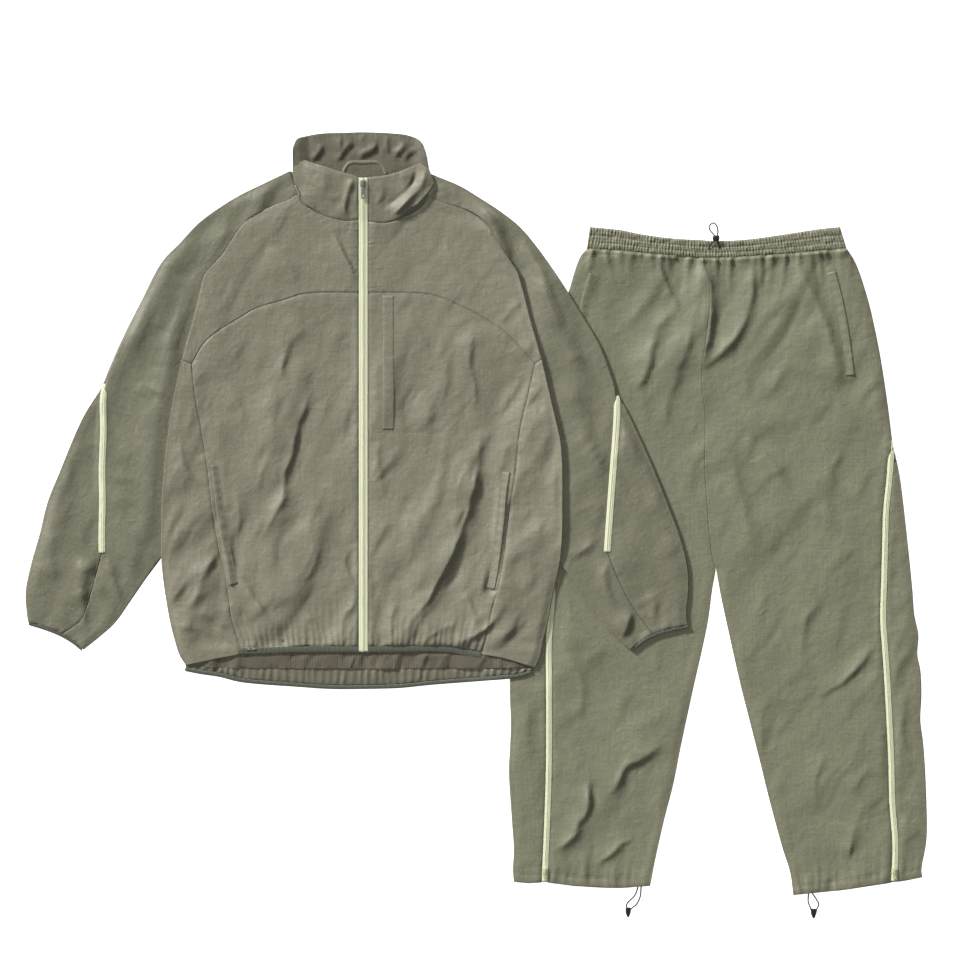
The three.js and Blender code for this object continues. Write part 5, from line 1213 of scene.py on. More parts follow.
class TRACKSUIT_OT_sleeves(bpy.types.Operator):
    """Makes the front, outer and back panels of both sleeves"""
    bl_idname = "tracksuit.sleeves"
    bl_label = "Sleeves"

    def execute(self, context):
        sizes = context.scene.tracksuit_sizes
        for word in SIDES:
            lines = jacket_lines(word)
            side, cut = lines["side"], lines["at_seam"]
            sleeve = sleeve_height(side)
            options = {"cloth": "sleeve", "wall": sizes.cloth_wall,
                       "dip": sizes.seam_dip, "turn": 0.42 * side["sign"]}

            def front(x, y, u, v):
                far = near(lines["cuff"], x, y)[0]
                reach = mix(5, 24, np.clip(0.5 + 0.8 * noise(x, y, 26, 8), 0, 1))
                tucks = 1.3 * gathers(7, u, side["sign"] + 2) + noise(x, y * 0.4, 11, 9)
                return sleeve(x, y) + tucks * np.exp(-far / reach)

            panel("jacket", f"sleeve_upper_{word}", f"sleeve_front_{word}",
                  (join(lines["seam"], spline(side["shoulder"][::-1], 13 * FINE)),
                   join(lines["inner"], lines["tuck"], lines["raglan"]), lines["cuff"][cut:],
                   spline(side["neckSide"], 4 * FINE)),
                  front, seams="BT", step=sizes.grid, **options)
            outer = spline(side["sleeveOuter"][::-1], 13 * FINE)[:12 * FINE + 1]
            outer[0] = lines["cuff"][0]
            panel("jacket", f"sleeve_under_{word}", f"sleeve_outer_{word}",
                  (outer, lines["seam"][:12 * FINE + 1], lines["cuff"][:cut + 1],
                   straight(outer[-1], lines["seam"][12 * FINE], FINE)),
                  front, seams="RB", step=sizes.grid, folded="L",
                  floor=lambda x, y: surface_level(x, y) + lift(x, y), **options)
            back_outer = join(spline(side["sleeveOuter"][::-1], 6 * FINE),
                              spline(side["shoulder"][::-1], 8 * FINE))
            back_outer[0] = lines["cuff"][0]
            back_inner = spline(side["sleeveInner"], 3 * FINE)
            back_inner[0] = lines["cuff"][-1]
            back_raglan = spline(side["backRaglan"], 3 * FINE)
            back_tuck = tuck_line(side, 8 * FINE)
            back_tuck[-1] = back_raglan[0]
            panel("jacket", f"sleeve_rear_{word}", f"sleeve_back_{word}",
                  (back_outer, join(back_inner, back_tuck, back_raglan), lines["cuff"],
                   straight(back_outer[-1], back_raglan[-1], 4)),
                  lambda x, y, u, v: back_level(x, y, SLEEVE_CREASES, 70), seams="B", step=sizes.back_grid,
                  rests_on=LEG_UNDER_JACKET if word == "left" else (), **options)
        return {"FINISHED"}


def back_level(x, y, table, seed):
    """Cloth that rests on the surface: its creases only rise, so its underside stays flat between them."""
    rise = 0.25 * np.clip(creases(table, -x, y, seed), 0, 2) + 0.3 * np.clip(rumple(x, y, seed), 0, 1)
    return BACK_TOP + rise + lift(x, y)


class TRACKSUIT_OT_jacket_back(bpy.types.Operator):
    """Makes the back, and the gathered hem casing with its binding"""
    bl_idname = "tracksuit.jacket_back"
    bl_label = "Jacket back"

    def execute(self, context):
        sizes = context.scene.tracksuit_sizes
        edges = []
        for word in SIDES:
            side = JACKET[word]
            low = spline(side["bodyEdge"][:6], 5 * FINE)
            tuck = tuck_line(side, 8 * FINE)
            tuck[-1] = side["backRaglan"][0]
            tuck = np.vstack([straight(low[-1], tuck[FINE], FINE)[:-1], tuck[FINE:]])
            edges.append(join(low, tuck, spline(side["backRaglan"], 3 * FINE)))
        band = straight(*JACKET["bandTop"], 96)
        edges[0][0], edges[1][0] = band[0], band[-1]
        neck = spline([edges[0][-1], (0, 727), edges[1][-1]], 96)
        panel("jacket", "body_rear", "body_back", (*edges, band, neck),
              lambda x, y, u, v: back_level(x, y, BODY_CREASES, 80), "inner", sizes.back_grid, seams="B",
              wall=sizes.cloth_wall, dip=0.3, pucker=0.1, rests_on=LEG_UNDER_JACKET)
        hem = spline(JACKET["backHem"], 96)
        top = hem + (0, BACK_BINDING)
        top[[0, -1], 1] -= 2

        def casing(x, y, u, v):
            slant = u + 0.012 * (v - 0.5) * (0.6 + noise(x, 0 * y, 70, 7)) + 0.006 * noise(x, 0 * y, 24, 8)
            waves = gathers(47, slant, 1) ** 1.4 * (0.55 + 0.6 * noise(x, y, 22, 46))
            return 0.9 + 2.2 * waves * smooth(0, 0.15, v) * smooth(1.05, 0.8, v) + lift(x, y)

        panel("jacket", "hem_casing", "hem_casing_back", ladder(top, band, 12), casing, "inner", 1.8,
              seams="BT", held="gathered", wall=sizes.cloth_wall, dip=0.4)
        panel("jacket", "hem_binding_rear", "hem_binding_back", ladder(hem, top, 4),
              lambda x, y, u, v: 1.2 + 0.9 * np.sin(math.pi * v) + 0.3 * gathers(60, u, 2) + lift(x, y),
              "binding", 1.6, seams="", wall=1.0, held="stretched")
        return {"FINISHED"}


class TRACKSUIT_OT_lining(bpy.types.Operator):
    """Makes the mesh lining with its holes, where it shows above the back hem"""
    bl_idname = "tracksuit.lining"
    bl_label = "Mesh lining"

    def execute(self, context):
        half, low, high, cell = 250.0, -23.5, 20.0, 1.2  # half its width, its ends and the knit's cells
        columns, rows = int(2 * half / cell), int((high - low) / cell)
        u, v = np.meshgrid(np.linspace(0, 1, columns + 1), np.linspace(0, 1, rows + 1))
        x = mix(-half, half, u)
        y = mix(low - 2 * np.sin(math.pi * u), high, v)
        ends = smooth(1, 0.9, np.abs(x) / half)
        waves = rumple(x * 2.2, y * 2.2, 12, 1.3) + 1.6 * np.abs(noise(x, y * 0.7, 26, 4))
        z = 1.4 + np.clip(1.4 + waves, 0, 5) * ends * mix(0.3, 1, smooth(1, -7, y)) + lift(x, y)
        vertices = np.dstack([x + JACKET_AT[0], y + JACKET_AT[1], z]).reshape(-1, 3) * MM
        across_by, up_by = np.meshgrid(np.arange(columns), np.arange(rows))
        hole = (across_by % 2 == 1) & (up_by % 2 == (across_by // 2) % 2)
        faces = grid_faces(rows + 1, columns + 1)[~hole.ravel()]
        piece = finish_mesh("lining_mesh", vertices.tolist(), faces.tolist(), finishes()["mesh"],
                            vertices[:, :2])
        solid = piece.modifiers.new("Wall", "SOLIDIFY")
        solid.thickness = 0.0005
        solid.offset = -1
        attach(piece, GARMENTS)
        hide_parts("mesh_lining")
        return {"FINISHED"}


class TRACKSUIT_OT_collar(bpy.types.Operator):
    """Makes the stand collar's front halves and its back"""
    bl_idname = "tracksuit.collar"
    bl_label = "Collar"

    def execute(self, context):
        sizes = context.scene.tracksuit_sizes
        for word in SIDES:
            lines = jacket_lines(word)
            side, middle = lines["side"], lines["middle"]
            collar = collar_height(side)

            def front(x, y, u, v):
                groove = 1.1 * np.exp(-((v - 0.94) / 0.016) ** 2)
                return collar(x, y) - 0.8 * smooth(0.94, 1, v) - groove

            panel("jacket", f"collar_half_{word}", f"collar_front_{word}",
                  (spline(side["collarSide"], 4 * FINE),
                   straight((middle, side["neck"][-1][1]), (middle, COLLAR_AT_ZIP), 4 * FINE), lines["neck"],
                   spline(side["collarEdge"], 9 * FINE)),
                  front, "jacket", sizes.grid * 0.8, seams="RBT", wall=1.6, dip=1.0)
        base = spline(JACKET["backNeck"], 14 * FINE) - (0, 3)
        edge = spline(JACKET["collarBack"], 14 * FINE)

        def back(x, y, u, v):
            level = 1.9 + 4.7 * smooth(78, 97, np.abs(x + 3)) + 6.5 * v
            puckers = 0.5 * gathers(34, u, 2) * smooth(0.6, 1, v)
            folds = np.clip(creases(INNER_COLLAR_CREASES, x, y), -0.6, 4.5) + 0.4 * rumple(x, y, 33)
            rim = 1.0 * np.exp(-((v - 0.95) / 0.014) ** 2)
            return level + folds * smooth(0, 0.2, v) * smooth(0.97, 0.86, v) + puckers - rim

        panel("jacket", "collar_rear", "collar_back", ladder(base, edge, 16), back, "inner",
              sizes.grid * 0.8, seams="T", wall=1.2, dip=0.8)
        return {"FINISHED"}


class TRACKSUIT_OT_trims(bpy.types.Operator):
    """Makes the jacket's bindings, pocket welts, chest placket, sleeve stripes and hanger loop"""
    bl_idname = "tracksuit.trims"
    bl_label = "Jacket trims"

    def execute(self, context):
        stripe_half = [0.3, 1.0, 1.8, 2.4, 4, 5.0, 5.3]
        stripe = [-d for d in stripe_half[::-1]] + [0] + stripe_half

        def binding(x, y, u, v):
            bulge = 0.9 * np.sin(math.pi * mix(0.1, 0.9, v))
            return BODY_TOP - 0.2 + bulge + 0.35 * gathers(26, u, 4) + lift(x, y)

        for word in SIDES:
            lines = jacket_lines(word)
            side = lines["side"]
            lines["hem"][-1, 0] = lines["above"][-1, 0] = lines["middle"]
            panel("jacket", f"hem_binding_{word}", f"hem_binding_front_{word}",
                  ladder(lines["hem"], lines["above"], 6), binding, "binding", 1.7, seams="", wall=1.2,
                  held="stretched")
            for layer, level, wall in (("front", EDGE_TOP + CLEAR, 1.2), ("back", 1.4, 1.0)):
                def cuff(x, y, u, v, z=level):
                    return z - 0.3 + 0.7 * np.sin(math.pi * v) + 0.3 * gathers(16, u, 6) + lift(x, y)

                panel("jacket", f"cuff_{layer}_{word}", f"cuff_binding_{layer}_{word}",
                      ladder(lines["cuff_edge"], lines["cuff"], 3), cuff, "binding", 1.4,
                      seams="", wall=wall, held="stretched")
            strip("jacket", f"pocket_welt_cloth_{word}", f"pocket_welt_{word}", spline(side["welt"], 60),
                  *welt_edge(6, 2.2, -side["sign"]), "jacket", uneven=0.2)
            strip("jacket", f"stripe_{word}", f"sleeve_stripe_{word}", lines["stripe"], stripe,
                  lambda d: 0.9 * smooth(5.4, 4.8, abs(d)) + 0.5 * smooth(2.3, 1.7, abs(d))
                  - 0.5 * math.exp(-(d / 0.3) ** 2), "tape", outline=side["sleeveOuter"], outer=side["sign"])
        strip("jacket", "placket", "chest_placket", spline([(38.2, 340), (38.2, 440), (38.2, 545)], 60),
              *soft_edge(8.4, 0.4), "jacket", uneven=0.1)
        strip("jacket", "hanger", "hanger_loop", spline(HANGER, 70), [-3.2, -3.0, -2.2, 0, 2.2, 3.0, 3.2],
              lambda d: 1.2 * smooth(3.3, 2.4, abs(d)), "sleeve",
              base=lambda x, y: 3.2 + 0.5 * np.cos(x / 18), step=2.0)
        return {"FINISHED"}


class TRACKSUIT_OT_zips(bpy.types.Operator):
    """Makes the zips' woven tapes and the turns of their coils"""
    bl_idname = "tracksuit.zips"
    bl_label = "Zips"

    def execute(self, context):
        line = straight((0, 0.5), (0, ZIP_END - 0.5), 240)
        for word, sign in (("right", -1), ("left", 1)):
            offsets = sorted(sign * d for d in (0.14, 0.3, 1.2, 1.9, 2.5, 3.6, 5.2, 6.5, 6.9))
            strip("jacket", f"zip_tape_{word}", f"front_zip_tape_{word}", line, offsets,
                  lambda d: 0.45 * smooth(2.7, 1.9, abs(d)) - 0.25 * smooth(6.4, 6.9, abs(d)), "tape",
                  base=lambda x, y: zip_level(y) + 0.3, wall=0.9)
        coil("front_zip_coil", line + JACKET_AT, lambda x, y: zip_level(y - JACKET_AT[1]) + 0.62)

        def level(x, y):
            return mix(LEG_TOP, COVERED_TOP, covered(x, y))

        half = [0.35, 1.0, 1.8, 2.4, 3.2, 4.3, 4.6]
        offsets = [-d for d in half[::-1]] + [0] + half
        for word in SIDES:
            side = TROUSERS[word]
            line = spline(side["zip"], 17 * FINE)
            outline = side["outerLow"] + side["outerTop"]
            strip("trousers", f"leg_tape_{word}", f"leg_zip_{word}", line, offsets,
                  lambda d: 0.35 + 0.45 * smooth(2.6, 1.8, abs(d)) - 0.3 * smooth(4.2, 4.6, abs(d))
                  - 0.6 * math.exp(-(d / 0.3) ** 2), "tape", base=level, wall=0.9,
                  outline=outline, outer=side["sign"])
            line = line[near(outline, line[:, 0], line[:, 1])[0] > LEG_ZIP_HALF]
            coil(f"leg_coil_{word}", line + TROUSERS_AT,
                 lambda x, y: level(x - TROUSERS_AT[0], y - TROUSERS_AT[1]) + 0.66)
        return {"FINISHED"}


class TRACKSUIT_OT_trousers(bpy.types.Operator):
    """Makes the legs' front, side and back panels"""
    bl_idname = "tracksuit.trousers"
    bl_label = "Trouser legs"

    def execute(self, context):
        sizes = context.scene.tracksuit_sizes
        options = {"cloth": "trousers", "wall": sizes.cloth_wall}
        for word in SIDES:
            side = TROUSERS[word]
            sign = side["sign"]
            leg = leg_height(side)
            zip_line = spline(side["zip"], 17 * FINE)
            halves = tape_halves(zip_line, side["outerLow"] + side["outerTop"], LEG_ZIP_HALF + 0.05)
            inward, outward = [beside(zip_line, s * sign * half) for s, half in zip((1, -1), halves)]
            hem_table = [(b, a) for a, b in side["hem"]]

            def hem_line(start, end, count):
                x = np.linspace(start, end, count + 1)
                return np.stack([x, across(hem_table, x)], axis=1)

            inseam = spline(side["inner"], 13 * FINE)
            hem_inner = hem_line(inward[0][0], side["inner"][0][0], 8 * FINE)
            inward[0], inseam[0] = hem_inner[0], hem_inner[-1]
            centre = spline(TROUSERS["centreSeam"], 12 * FINE)
            waist = spline(side["waist"], 8 * FINE)

            def sewn_hem(up):
                return -0.7 * np.exp(-((up - LEG_HEM) / 1.6) ** 2)

            def front(x, y, u, v):
                down = np.maximum(near(waist, x, y)[0] - 1, 0)
                fan = x + 0.3 * down * noise(x, 0 * y, 60, 3)
                reach = mix(5, 42, np.clip(0.35 + 1.1 * noise(fan, 0 * y, 24, 12), 0, 1))
                tucks = np.clip(1 - 2.6 * np.abs(noise(fan, down * 0.1, 21, 31)), 0, 1) ** 1.6
                fine = np.clip(noise(fan, down * 0.15, 8, 33) + 0.2, 0, 1) * np.exp(-down / 8)
                below = smooth(-2, 2.5, down) * (1 - covered(x, y))
                high = (7.0 * tucks * np.exp(-down / reach) + 6.0 * fine) * below
                up = near(hem_inner, x, y)[0]
                spread = mix(6, 30, np.clip(0.5 + 0.9 * noise(x, 0 * y, 26, 12), 0, 1))
                low = 1.3 * gathers(10, u + 0.03 * noise(x, y, 40, 3), sign + 1)
                low = (low + 2.0 * noise(x, y * 0.3, 15, 32)) * np.exp(-np.abs(up - LEG_HEM) / spread)
                return leg(x, y) + high + low + sewn_hem(up) + 0.25 * smooth(LEG_HEM + 0.5, 11, up)

            panel("trousers", f"leg_panel_{word}", f"leg_front_{word}",
                  (join(inward, spline(side["outerTop"], 8 * FINE)), join(inseam, centre), hem_inner, waist),
                  front, seams="LTB", step=sizes.grid, dip=sizes.seam_dip, **options)
            outer = spline(side["outerLow"], 16 * FINE)
            hem_side = hem_line(side["outerLow"][0][0], outward[0][0], 4 * FINE)
            outer[0], outward[0] = hem_side[0], hem_side[-1]

            def outside(x, y, u, v):
                up = near(hem_side, x, y)[0]
                tucks = 0.8 * gathers(3, u, 2) * np.exp(-np.abs(up - LEG_HEM) / 14)
                return leg(x, y) + sewn_hem(up) + tucks

            panel("trousers", f"leg_outside_{word}", f"leg_side_{word}",
                  (outer, outward[:16 * FINE + 1], hem_side, straight(outer[-1], outward[16 * FINE], FINE)),
                  outside, seams="RB", folded="L", step=sizes.grid, floor=surface_level, dip=sizes.seam_dip,
                  **options)
            rear_outer = join(spline(side["outerLow"], 8 * FINE),
                              straight(side["outerLow"][-1], side["outerTop"][0], FINE),
                              spline(side["outerTop"], 4 * FINE))
            rear_inner = join(spline(side["inner"], 7 * FINE), spline(TROUSERS["centreSeam"], 6 * FINE))
            panel("trousers", f"leg_rear_{word}", f"leg_back_{word}",
                  (rear_outer, rear_inner, spline(side["hem"], 24), waist),
                  lambda x, y, u, v: back_level(x, y, LEG_CREASES, 90) - lift(x, y), seams="B",
                  step=sizes.back_grid, dip=0.3, **options)
        return {"FINISHED"}


class TRACKSUIT_OT_waistband(bpy.types.Operator):
    """Makes the gathered waistband, front and back, and the leg pockets' welts"""
    bl_idname = "tracksuit.waistband"
    bl_label = "Waistband"

    def execute(self, context):
        top = evenly(spline(TROUSERS["waistTop"], 240), 420)
        low = join(spline(TROUSERS["right"]["waist"], 120), spline(TROUSERS["left"]["waist"][::-1], 120))
        edges = ladder(evenly(low, 420), top, 24)

        def front(x, y, u, v):
            channels = 0.9 * np.exp(-((v - 0.62) / 0.06) ** 2) + 0.7 * np.exp(-((v - 0.3) / 0.05) ** 2)
            slant = u + 0.0016 * np.sin(7 * v + 40 * u)
            waves = gathers(88, slant, 1) * (0.7 + 0.6 * noise(x, y * 2, 11, 44))
            waves = waves + 0.4 * noise(x, y * 0.5, 4, 46)
            level = LEG_TOP + 0.9 + 1.6 * waves + 0.6 * noise(x, y, 16, 45)
            return level - channels - 1.4 * (1 - smooth(1, 0.9, v))

        panel("trousers", "waistband_outer", "waistband_front", edges, front, "trousers", 1.1, seams="B",
              dip=1.2, pucker=0.2, wall=1.0, held="gathered", folded="LR",
              floor=lambda x, y: surface_level(x, y) + 0.1)
        panel("trousers", "waistband_inner", "waistband_back", edges,
              lambda x, y, u, v: 1.3 + 1.1 * gathers(80, u, 2), "trousers", 2.4, seams="", wall=0.8,
              held="gathered")
        for word in SIDES:
            strip("trousers", f"leg_pocket_cloth_{word}", f"leg_pocket_welt_{word}",
                  spline(TROUSERS[word]["pocket"], 60), *welt_edge(6.6, 1.8, -TROUSERS[word]["sign"]),
                  "trousers", uneven=0.15)
        return {"FINISHED"}


class TRACKSUIT_OT_sewing(bpy.types.Operator):
    """Sews rows of topstitching beside the seams, zips, welts and hems"""
    bl_idname = "tracksuit.sewing"
    bl_label = "Topstitching"

    def execute(self, context):
        thread = finishes()["thread"]
        beside_seam, beside_zip, beside_stripe, beside_welt = 2.2, 2.4, 4.5, 4.6
        beside_leg_zip, beside_pocket, welt_facing = 7.2, 5.2, 8.5
        tunnel = spline([(-281, 41), (-262, 42), (-238, 36), (-213, 22), (-194, 6)], 40)
        for word in SIDES:
            lines = jacket_lines(word)
            side, sign = lines["side"], lines["side"]["sign"]
            x = sign * (ZIP_HALF + beside_zip)
            for line, *offsets in (
                    (lines["raglan"], beside_seam * sign), (lines["yoke_seam"], beside_seam),
                    (lines["side_seam"], beside_seam * sign), (lines["neck"], -beside_seam),
                    (straight((x, 12), (x, 655), 300),), (straight((x, 668), (x, 718), 40),),
                    (lines["above"][4:-6], -2.5 * sign), (lines["cuff"][2:-2], 2.0), (tunnel * (-sign, 1),),
                    (spline(side["welt"], 60), -beside_welt, beside_welt, welt_facing * sign),
                    (spline(side["collarEdge"], 60)[2:-2], 4.0 * sign),
                    (lines["stripe"][2:-2], -beside_stripe, beside_stripe)):
                Sewing.row("jacket", line, *offsets)
        for x in (31.8, 44.6):
            Sewing.row("jacket", straight((x, 342), (x, 544), 80))
        Sewing.row("jacket", spline(POCKET_BAG, 60))
        Sewing.build("jacket", thread, "jacket_cloth")
        for word in SIDES:
            side = TROUSERS[word]
            Sewing.row("trousers", spline(side["zip"], 17 * FINE)[3:-2], beside_leg_zip, -beside_leg_zip)
            Sewing.row("trousers", spline(side["pocket"], 60), -beside_pocket, beside_pocket)
            Sewing.row("trousers", spline(side["hem"], 60)[2:-2], -LEG_HEM * side["sign"])
        low = join(spline(TROUSERS["right"]["waist"], 60), spline(TROUSERS["left"]["waist"][::-1], 60))
        Sewing.row("trousers", mix(low, spline(TROUSERS["waistTop"], 120), 0.5)[1:-1])
        Sewing.row("trousers", spline(TROUSERS["centreSeam"], 60), 2.0)
        Sewing.build("trousers", thread, "trouser_cloth")
        return {"FINISHED"}


def tube(name, path, diameter, material):
    """A round cord along a path of points in metres, with its braid along its own length."""
    sides, strands, relief, twist = 12, 4, 0.05, 2600  # the twist in radians for each metre
    run = directions(path)
    first = np.cross(run, (0, 0, 1))
    first /= np.maximum(np.linalg.norm(first, axis=1), 1e-6)[:, None]
    second = np.cross(run, first)
    turns = np.linspace(0, 2 * math.pi, sides, endpoint=False)
    along = distances(path)
    braid = 1 + relief * np.cos(strands * turns[None] + along[:, None] * twist)
    rings = path[:, None] + diameter / 2 * braid[..., None] * (
        np.cos(turns)[None, :, None] * first[:, None] + np.sin(turns)[None, :, None] * second[:, None])
    last = (len(path) - 1) * sides
    faces = [(i + j, i + j + sides, i + (j + 1) % sides + sides, i + (j + 1) % sides)
             for i in range(0, last, sides) for j in range(sides)]
    faces += [tuple(range(sides)), tuple(range(last + sides - 1, last - 1, -1))]
    uv = np.stack(np.broadcast_arrays((turns * diameter / 2)[None], along[:, None]), axis=-1).reshape(-1, 2)
    return finish_mesh(name, rings.reshape(-1, 3).tolist(), faces, material, uv)


class TRACKSUIT_OT_cords(bpy.types.Operator):
    """Makes the drawcords and the fittings that they run through"""
    bl_idname = "tracksuit.cords"
    bl_label = "Drawcords"

    def execute(self, context):
        finish = finishes()
        cap = (9, 15, 5.4), (0.35, 0.9)
        fittings = (
            ("waist_cord", "waist_bead", "waist_stopper", (-0.6, 503.8, 10.6), (13, 9, 8), (0.62, 0.72)),
            ("hem_cord_right", "hem_cap_right", "hem_cord_end_right", (-134.6, -526.4, 2.8), *cap),
            ("hem_cord_left", "hem_cap_left", "hem_cord_end_left", (149.2, -528.2, 2.8), *cap),
        )
        for key, fitting, node, place, size, tapers in fittings:
            path = spline(CORDS[key], 160)
            path[:, :2] += TROUSERS_AT
            path *= MM
            cord = tube(f"{key}_braid", path, CORD * MM, finish["cord"])
            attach(cord, GARMENTS)
            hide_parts(key)
            at_row = (place[0] + TROUSERS_AT[0], place[1] + TROUSERS_AT[1], place[2])
            bead = stopper(fitting, size, at_row, finish["plastic"], tapers)
            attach(bead, GARMENTS)
            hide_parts(node)
            length_of(path)
        return {"FINISHED"}


# Hard pieces, modelled as by hand

def start_cube(name, size, place):
    bpy.ops.object.select_all(action="DESELECT")
    bpy.ops.mesh.primitive_cube_add(size=1, location=[c * MM for c in place])
    piece = bpy.context.object
    piece.name = piece.data.name = name
    piece.scale = [s * MM for s in size]
    bpy.ops.object.transform_apply(location=True, rotation=False, scale=True)
    return piece


def choose(piece, faces=None, edges=None):
    """Selects faces or edges in edit mode by a test on their middle in millimetres, and direction."""
    bpy.ops.object.mode_set(mode="EDIT")
    bpy.ops.mesh.select_mode(type="FACE" if faces else "EDGE")
    bpy.ops.mesh.select_all(action="DESELECT")
    shape = bmesh.from_edit_mesh(piece.data)
    for item in shape.faces if faces else shape.edges:
        if faces:
            middle = item.calc_center_median() / MM
            chosen = faces(middle, item.normal)
        else:
            a, b = (v.co / MM for v in item.verts)
            chosen = edges((a + b) / 2, (b - a).normalized())
        item.select_set(bool(chosen))
    shape.select_flush_mode()
    bmesh.update_edit_mesh(piece.data)


def leave_edit():
    bpy.ops.object.mode_set(mode="OBJECT")


def settle(piece, material, bevel=0.0, levels=0):
    """Rounds a finished hard piece and gives it its material."""
    leave_edit()
    bpy.context.view_layer.objects.active = piece
    if bevel:
        made = piece.modifiers.new("Rounded", "BEVEL")
        made.width, made.segments, made.limit_method = bevel * MM, 3, "ANGLE"
        bpy.ops.object.modifier_apply(modifier=made.name)
    if levels:
        made = piece.modifiers.new("Smooth", "SUBSURF")
        made.levels = made.render_levels = levels
        bpy.ops.object.modifier_apply(modifier=made.name)
    bpy.ops.object.select_all(action="DESELECT")
    piece.select_set(True)
    bpy.ops.object.shade_smooth_by_angle(angle=math.radians(35))
    piece.data.materials.clear()
    piece.data.materials.append(material)
    return piece


def stopper(name, size, place, material, tapers):
    """A moulded bead: dimples where the two strands go in, and ends that narrow."""
    piece = start_cube(name, size, place)
    wide, long = size[:2]
    centre = [c * MM for c in place]
    bpy.ops.object.mode_set(mode="EDIT")
    for normal in ((1, 0, 0), (0, 1, 0)):
        bpy.ops.mesh.select_all(action="SELECT")
        bpy.ops.mesh.bisect(plane_co=centre, plane_no=normal)
    for side, share in zip((-1, 1), tapers):
        choose(piece, faces=lambda c, n: n.y * side > 0.9)
        bpy.ops.transform.resize(value=(share, 1, 0.5 + share / 2), center_override=centre)
    choose(piece, faces=lambda c, n: abs(n.y) > 0.9)
    bpy.ops.mesh.inset(thickness=wide * 0.11 * MM, use_individual=True)
    for side in (-1, 1):
        choose(piece, faces=lambda c, n: n.y * side > 0.9 and abs(c.y - place[1]) > long * 0.49
               and 0.15 * wide < abs(c.x - place[0]) < 0.35 * wide and abs(c.z - place[2]) < 0.2)
        bpy.ops.mesh.extrude_region_move(TRANSFORM_OT_translate={"value": (0, -side * long * 0.16 * MM, 0)})
    return settle(piece, material, levels=3)


def slider_pieces(word, place, slope, pull, material):
    """A zip slider with two plates and a bridge, and its pull tab with a window."""
    def plate(name, level):
        made = start_cube(f"{word}_{name}", (8.6, 10.6, 0.8), (0, 0, level))
        choose(made, edges=lambda c, d: abs(d.z) > 0.9)
        bpy.ops.mesh.bevel(offset=2.4 * MM, segments=4)
        return made

    lower = plate("body", -1.5)
    choose(lower, faces=lambda c, n: n.y < -0.9)
    bpy.ops.transform.resize(value=(0.6, 1, 1), center_override=(0, 0, 0))
    leave_edit()
    upper = plate("top", -0.4)
    choose(upper, faces=lambda c, n: n.z > 0.9)
    bpy.ops.mesh.inset(thickness=0.9 * MM)
    bpy.ops.transform.translate(value=(0, 0, 0.25 * MM))
    leave_edit()
    post = start_cube(f"{word}_post", (2.2, 3.4, 1.0), (0, 2.4, -0.95))
    bridge = start_cube(f"{word}_bridge", (2.0, 8.4, 0.9), (0, 0, 2.9))
    bpy.ops.object.mode_set(mode="EDIT")
    for cut in (-3.0, 3.0):
        bpy.ops.mesh.select_all(action="SELECT")
        bpy.ops.mesh.bisect(plane_co=(0, cut * MM, 0), plane_no=(0, 1, 0))
    choose(bridge, faces=lambda c, n: n.z < -0.9 and abs(c.y) > 3)
    bpy.ops.mesh.extrude_region_move(TRANSFORM_OT_translate={"value": (0, 0, -2.5 * MM)})
    leave_edit()
    bodies = [settle(part, material, bevel=0.22) for part in (lower, upper, post, bridge)]
    slider = merge(bodies, f"{word}_slider_cast")

    # The tab starts 5 mm below its bar. Its window is given by its two sizes and its distance from that end
    long, wide, (window_wide, window_long), window_at = pull
    start, bar_level, thick = -5, 1.2, 1.2
    tab_middle, window_middle = start - long / 2, start - window_at
    tab = start_cube(f"{word}_tab", (wide, long, thick), (0, tab_middle, bar_level))
    bpy.ops.object.mode_set(mode="EDIT")
    for side in (-0.5, 0.5):
        for place_at, normal in (((side * window_wide, 0, 0), (1, 0, 0)),
                                 ((0, window_middle + side * window_long, 0), (0, 1, 0))):
            bpy.ops.mesh.select_all(action="SELECT")
            bpy.ops.mesh.bisect(plane_co=[c * MM for c in place_at], plane_no=normal)
    choose(tab, faces=lambda c, n: abs(n.z) > 0.9 and abs(c.x) < window_wide / 2 - 0.05
           and abs(c.y - window_middle) < window_long / 2 - 0.05)
    bpy.ops.mesh.bridge_edge_loops()
    choose(tab, edges=lambda c, d: abs(d.z) > 0.9 and abs(c.x) > wide / 2 - 0.05
           and abs(c.y - tab_middle) > long / 2 - 0.05)
    bpy.ops.mesh.bevel(offset=min(wide, long) * 0.32 * MM, segments=4)
    leave_edit()
    arms = [start_cube(f"{word}_arm", (1.4, 5.6, thick), (s * 2.3, -2.8, bar_level)) for s in (-1, 1)]
    bpy.ops.object.select_all(action="DESELECT")
    bpy.ops.mesh.primitive_cylinder_add(vertices=16, radius=0.6 * MM, depth=6.0 * MM,
                                        location=(0, 0, bar_level * MM), rotation=(0, math.pi / 2, 0))
    bar = bpy.context.object
    bpy.ops.object.transform_apply(location=True, rotation=True, scale=True)
    parts = [settle(part, material, bevel=0.2) for part in (tab, *arms, bar)]
    handle = merge(parts, f"{word}_pull_cast")
    turn = Matrix.Translation(Vector(place) * MM) @ Matrix.Rotation(slope, 4, "X")
    for piece in (slider, handle):
        piece.data.transform(turn)
    return slider, handle


def merge(parts, name):
    bpy.ops.object.select_all(action="DESELECT")
    for part in parts:
        part.select_set(True)
    bpy.context.view_layer.objects.active = parts[0]
    bpy.ops.object.join()
    parts[0].name = parts[0].data.name = name
    return parts[0]


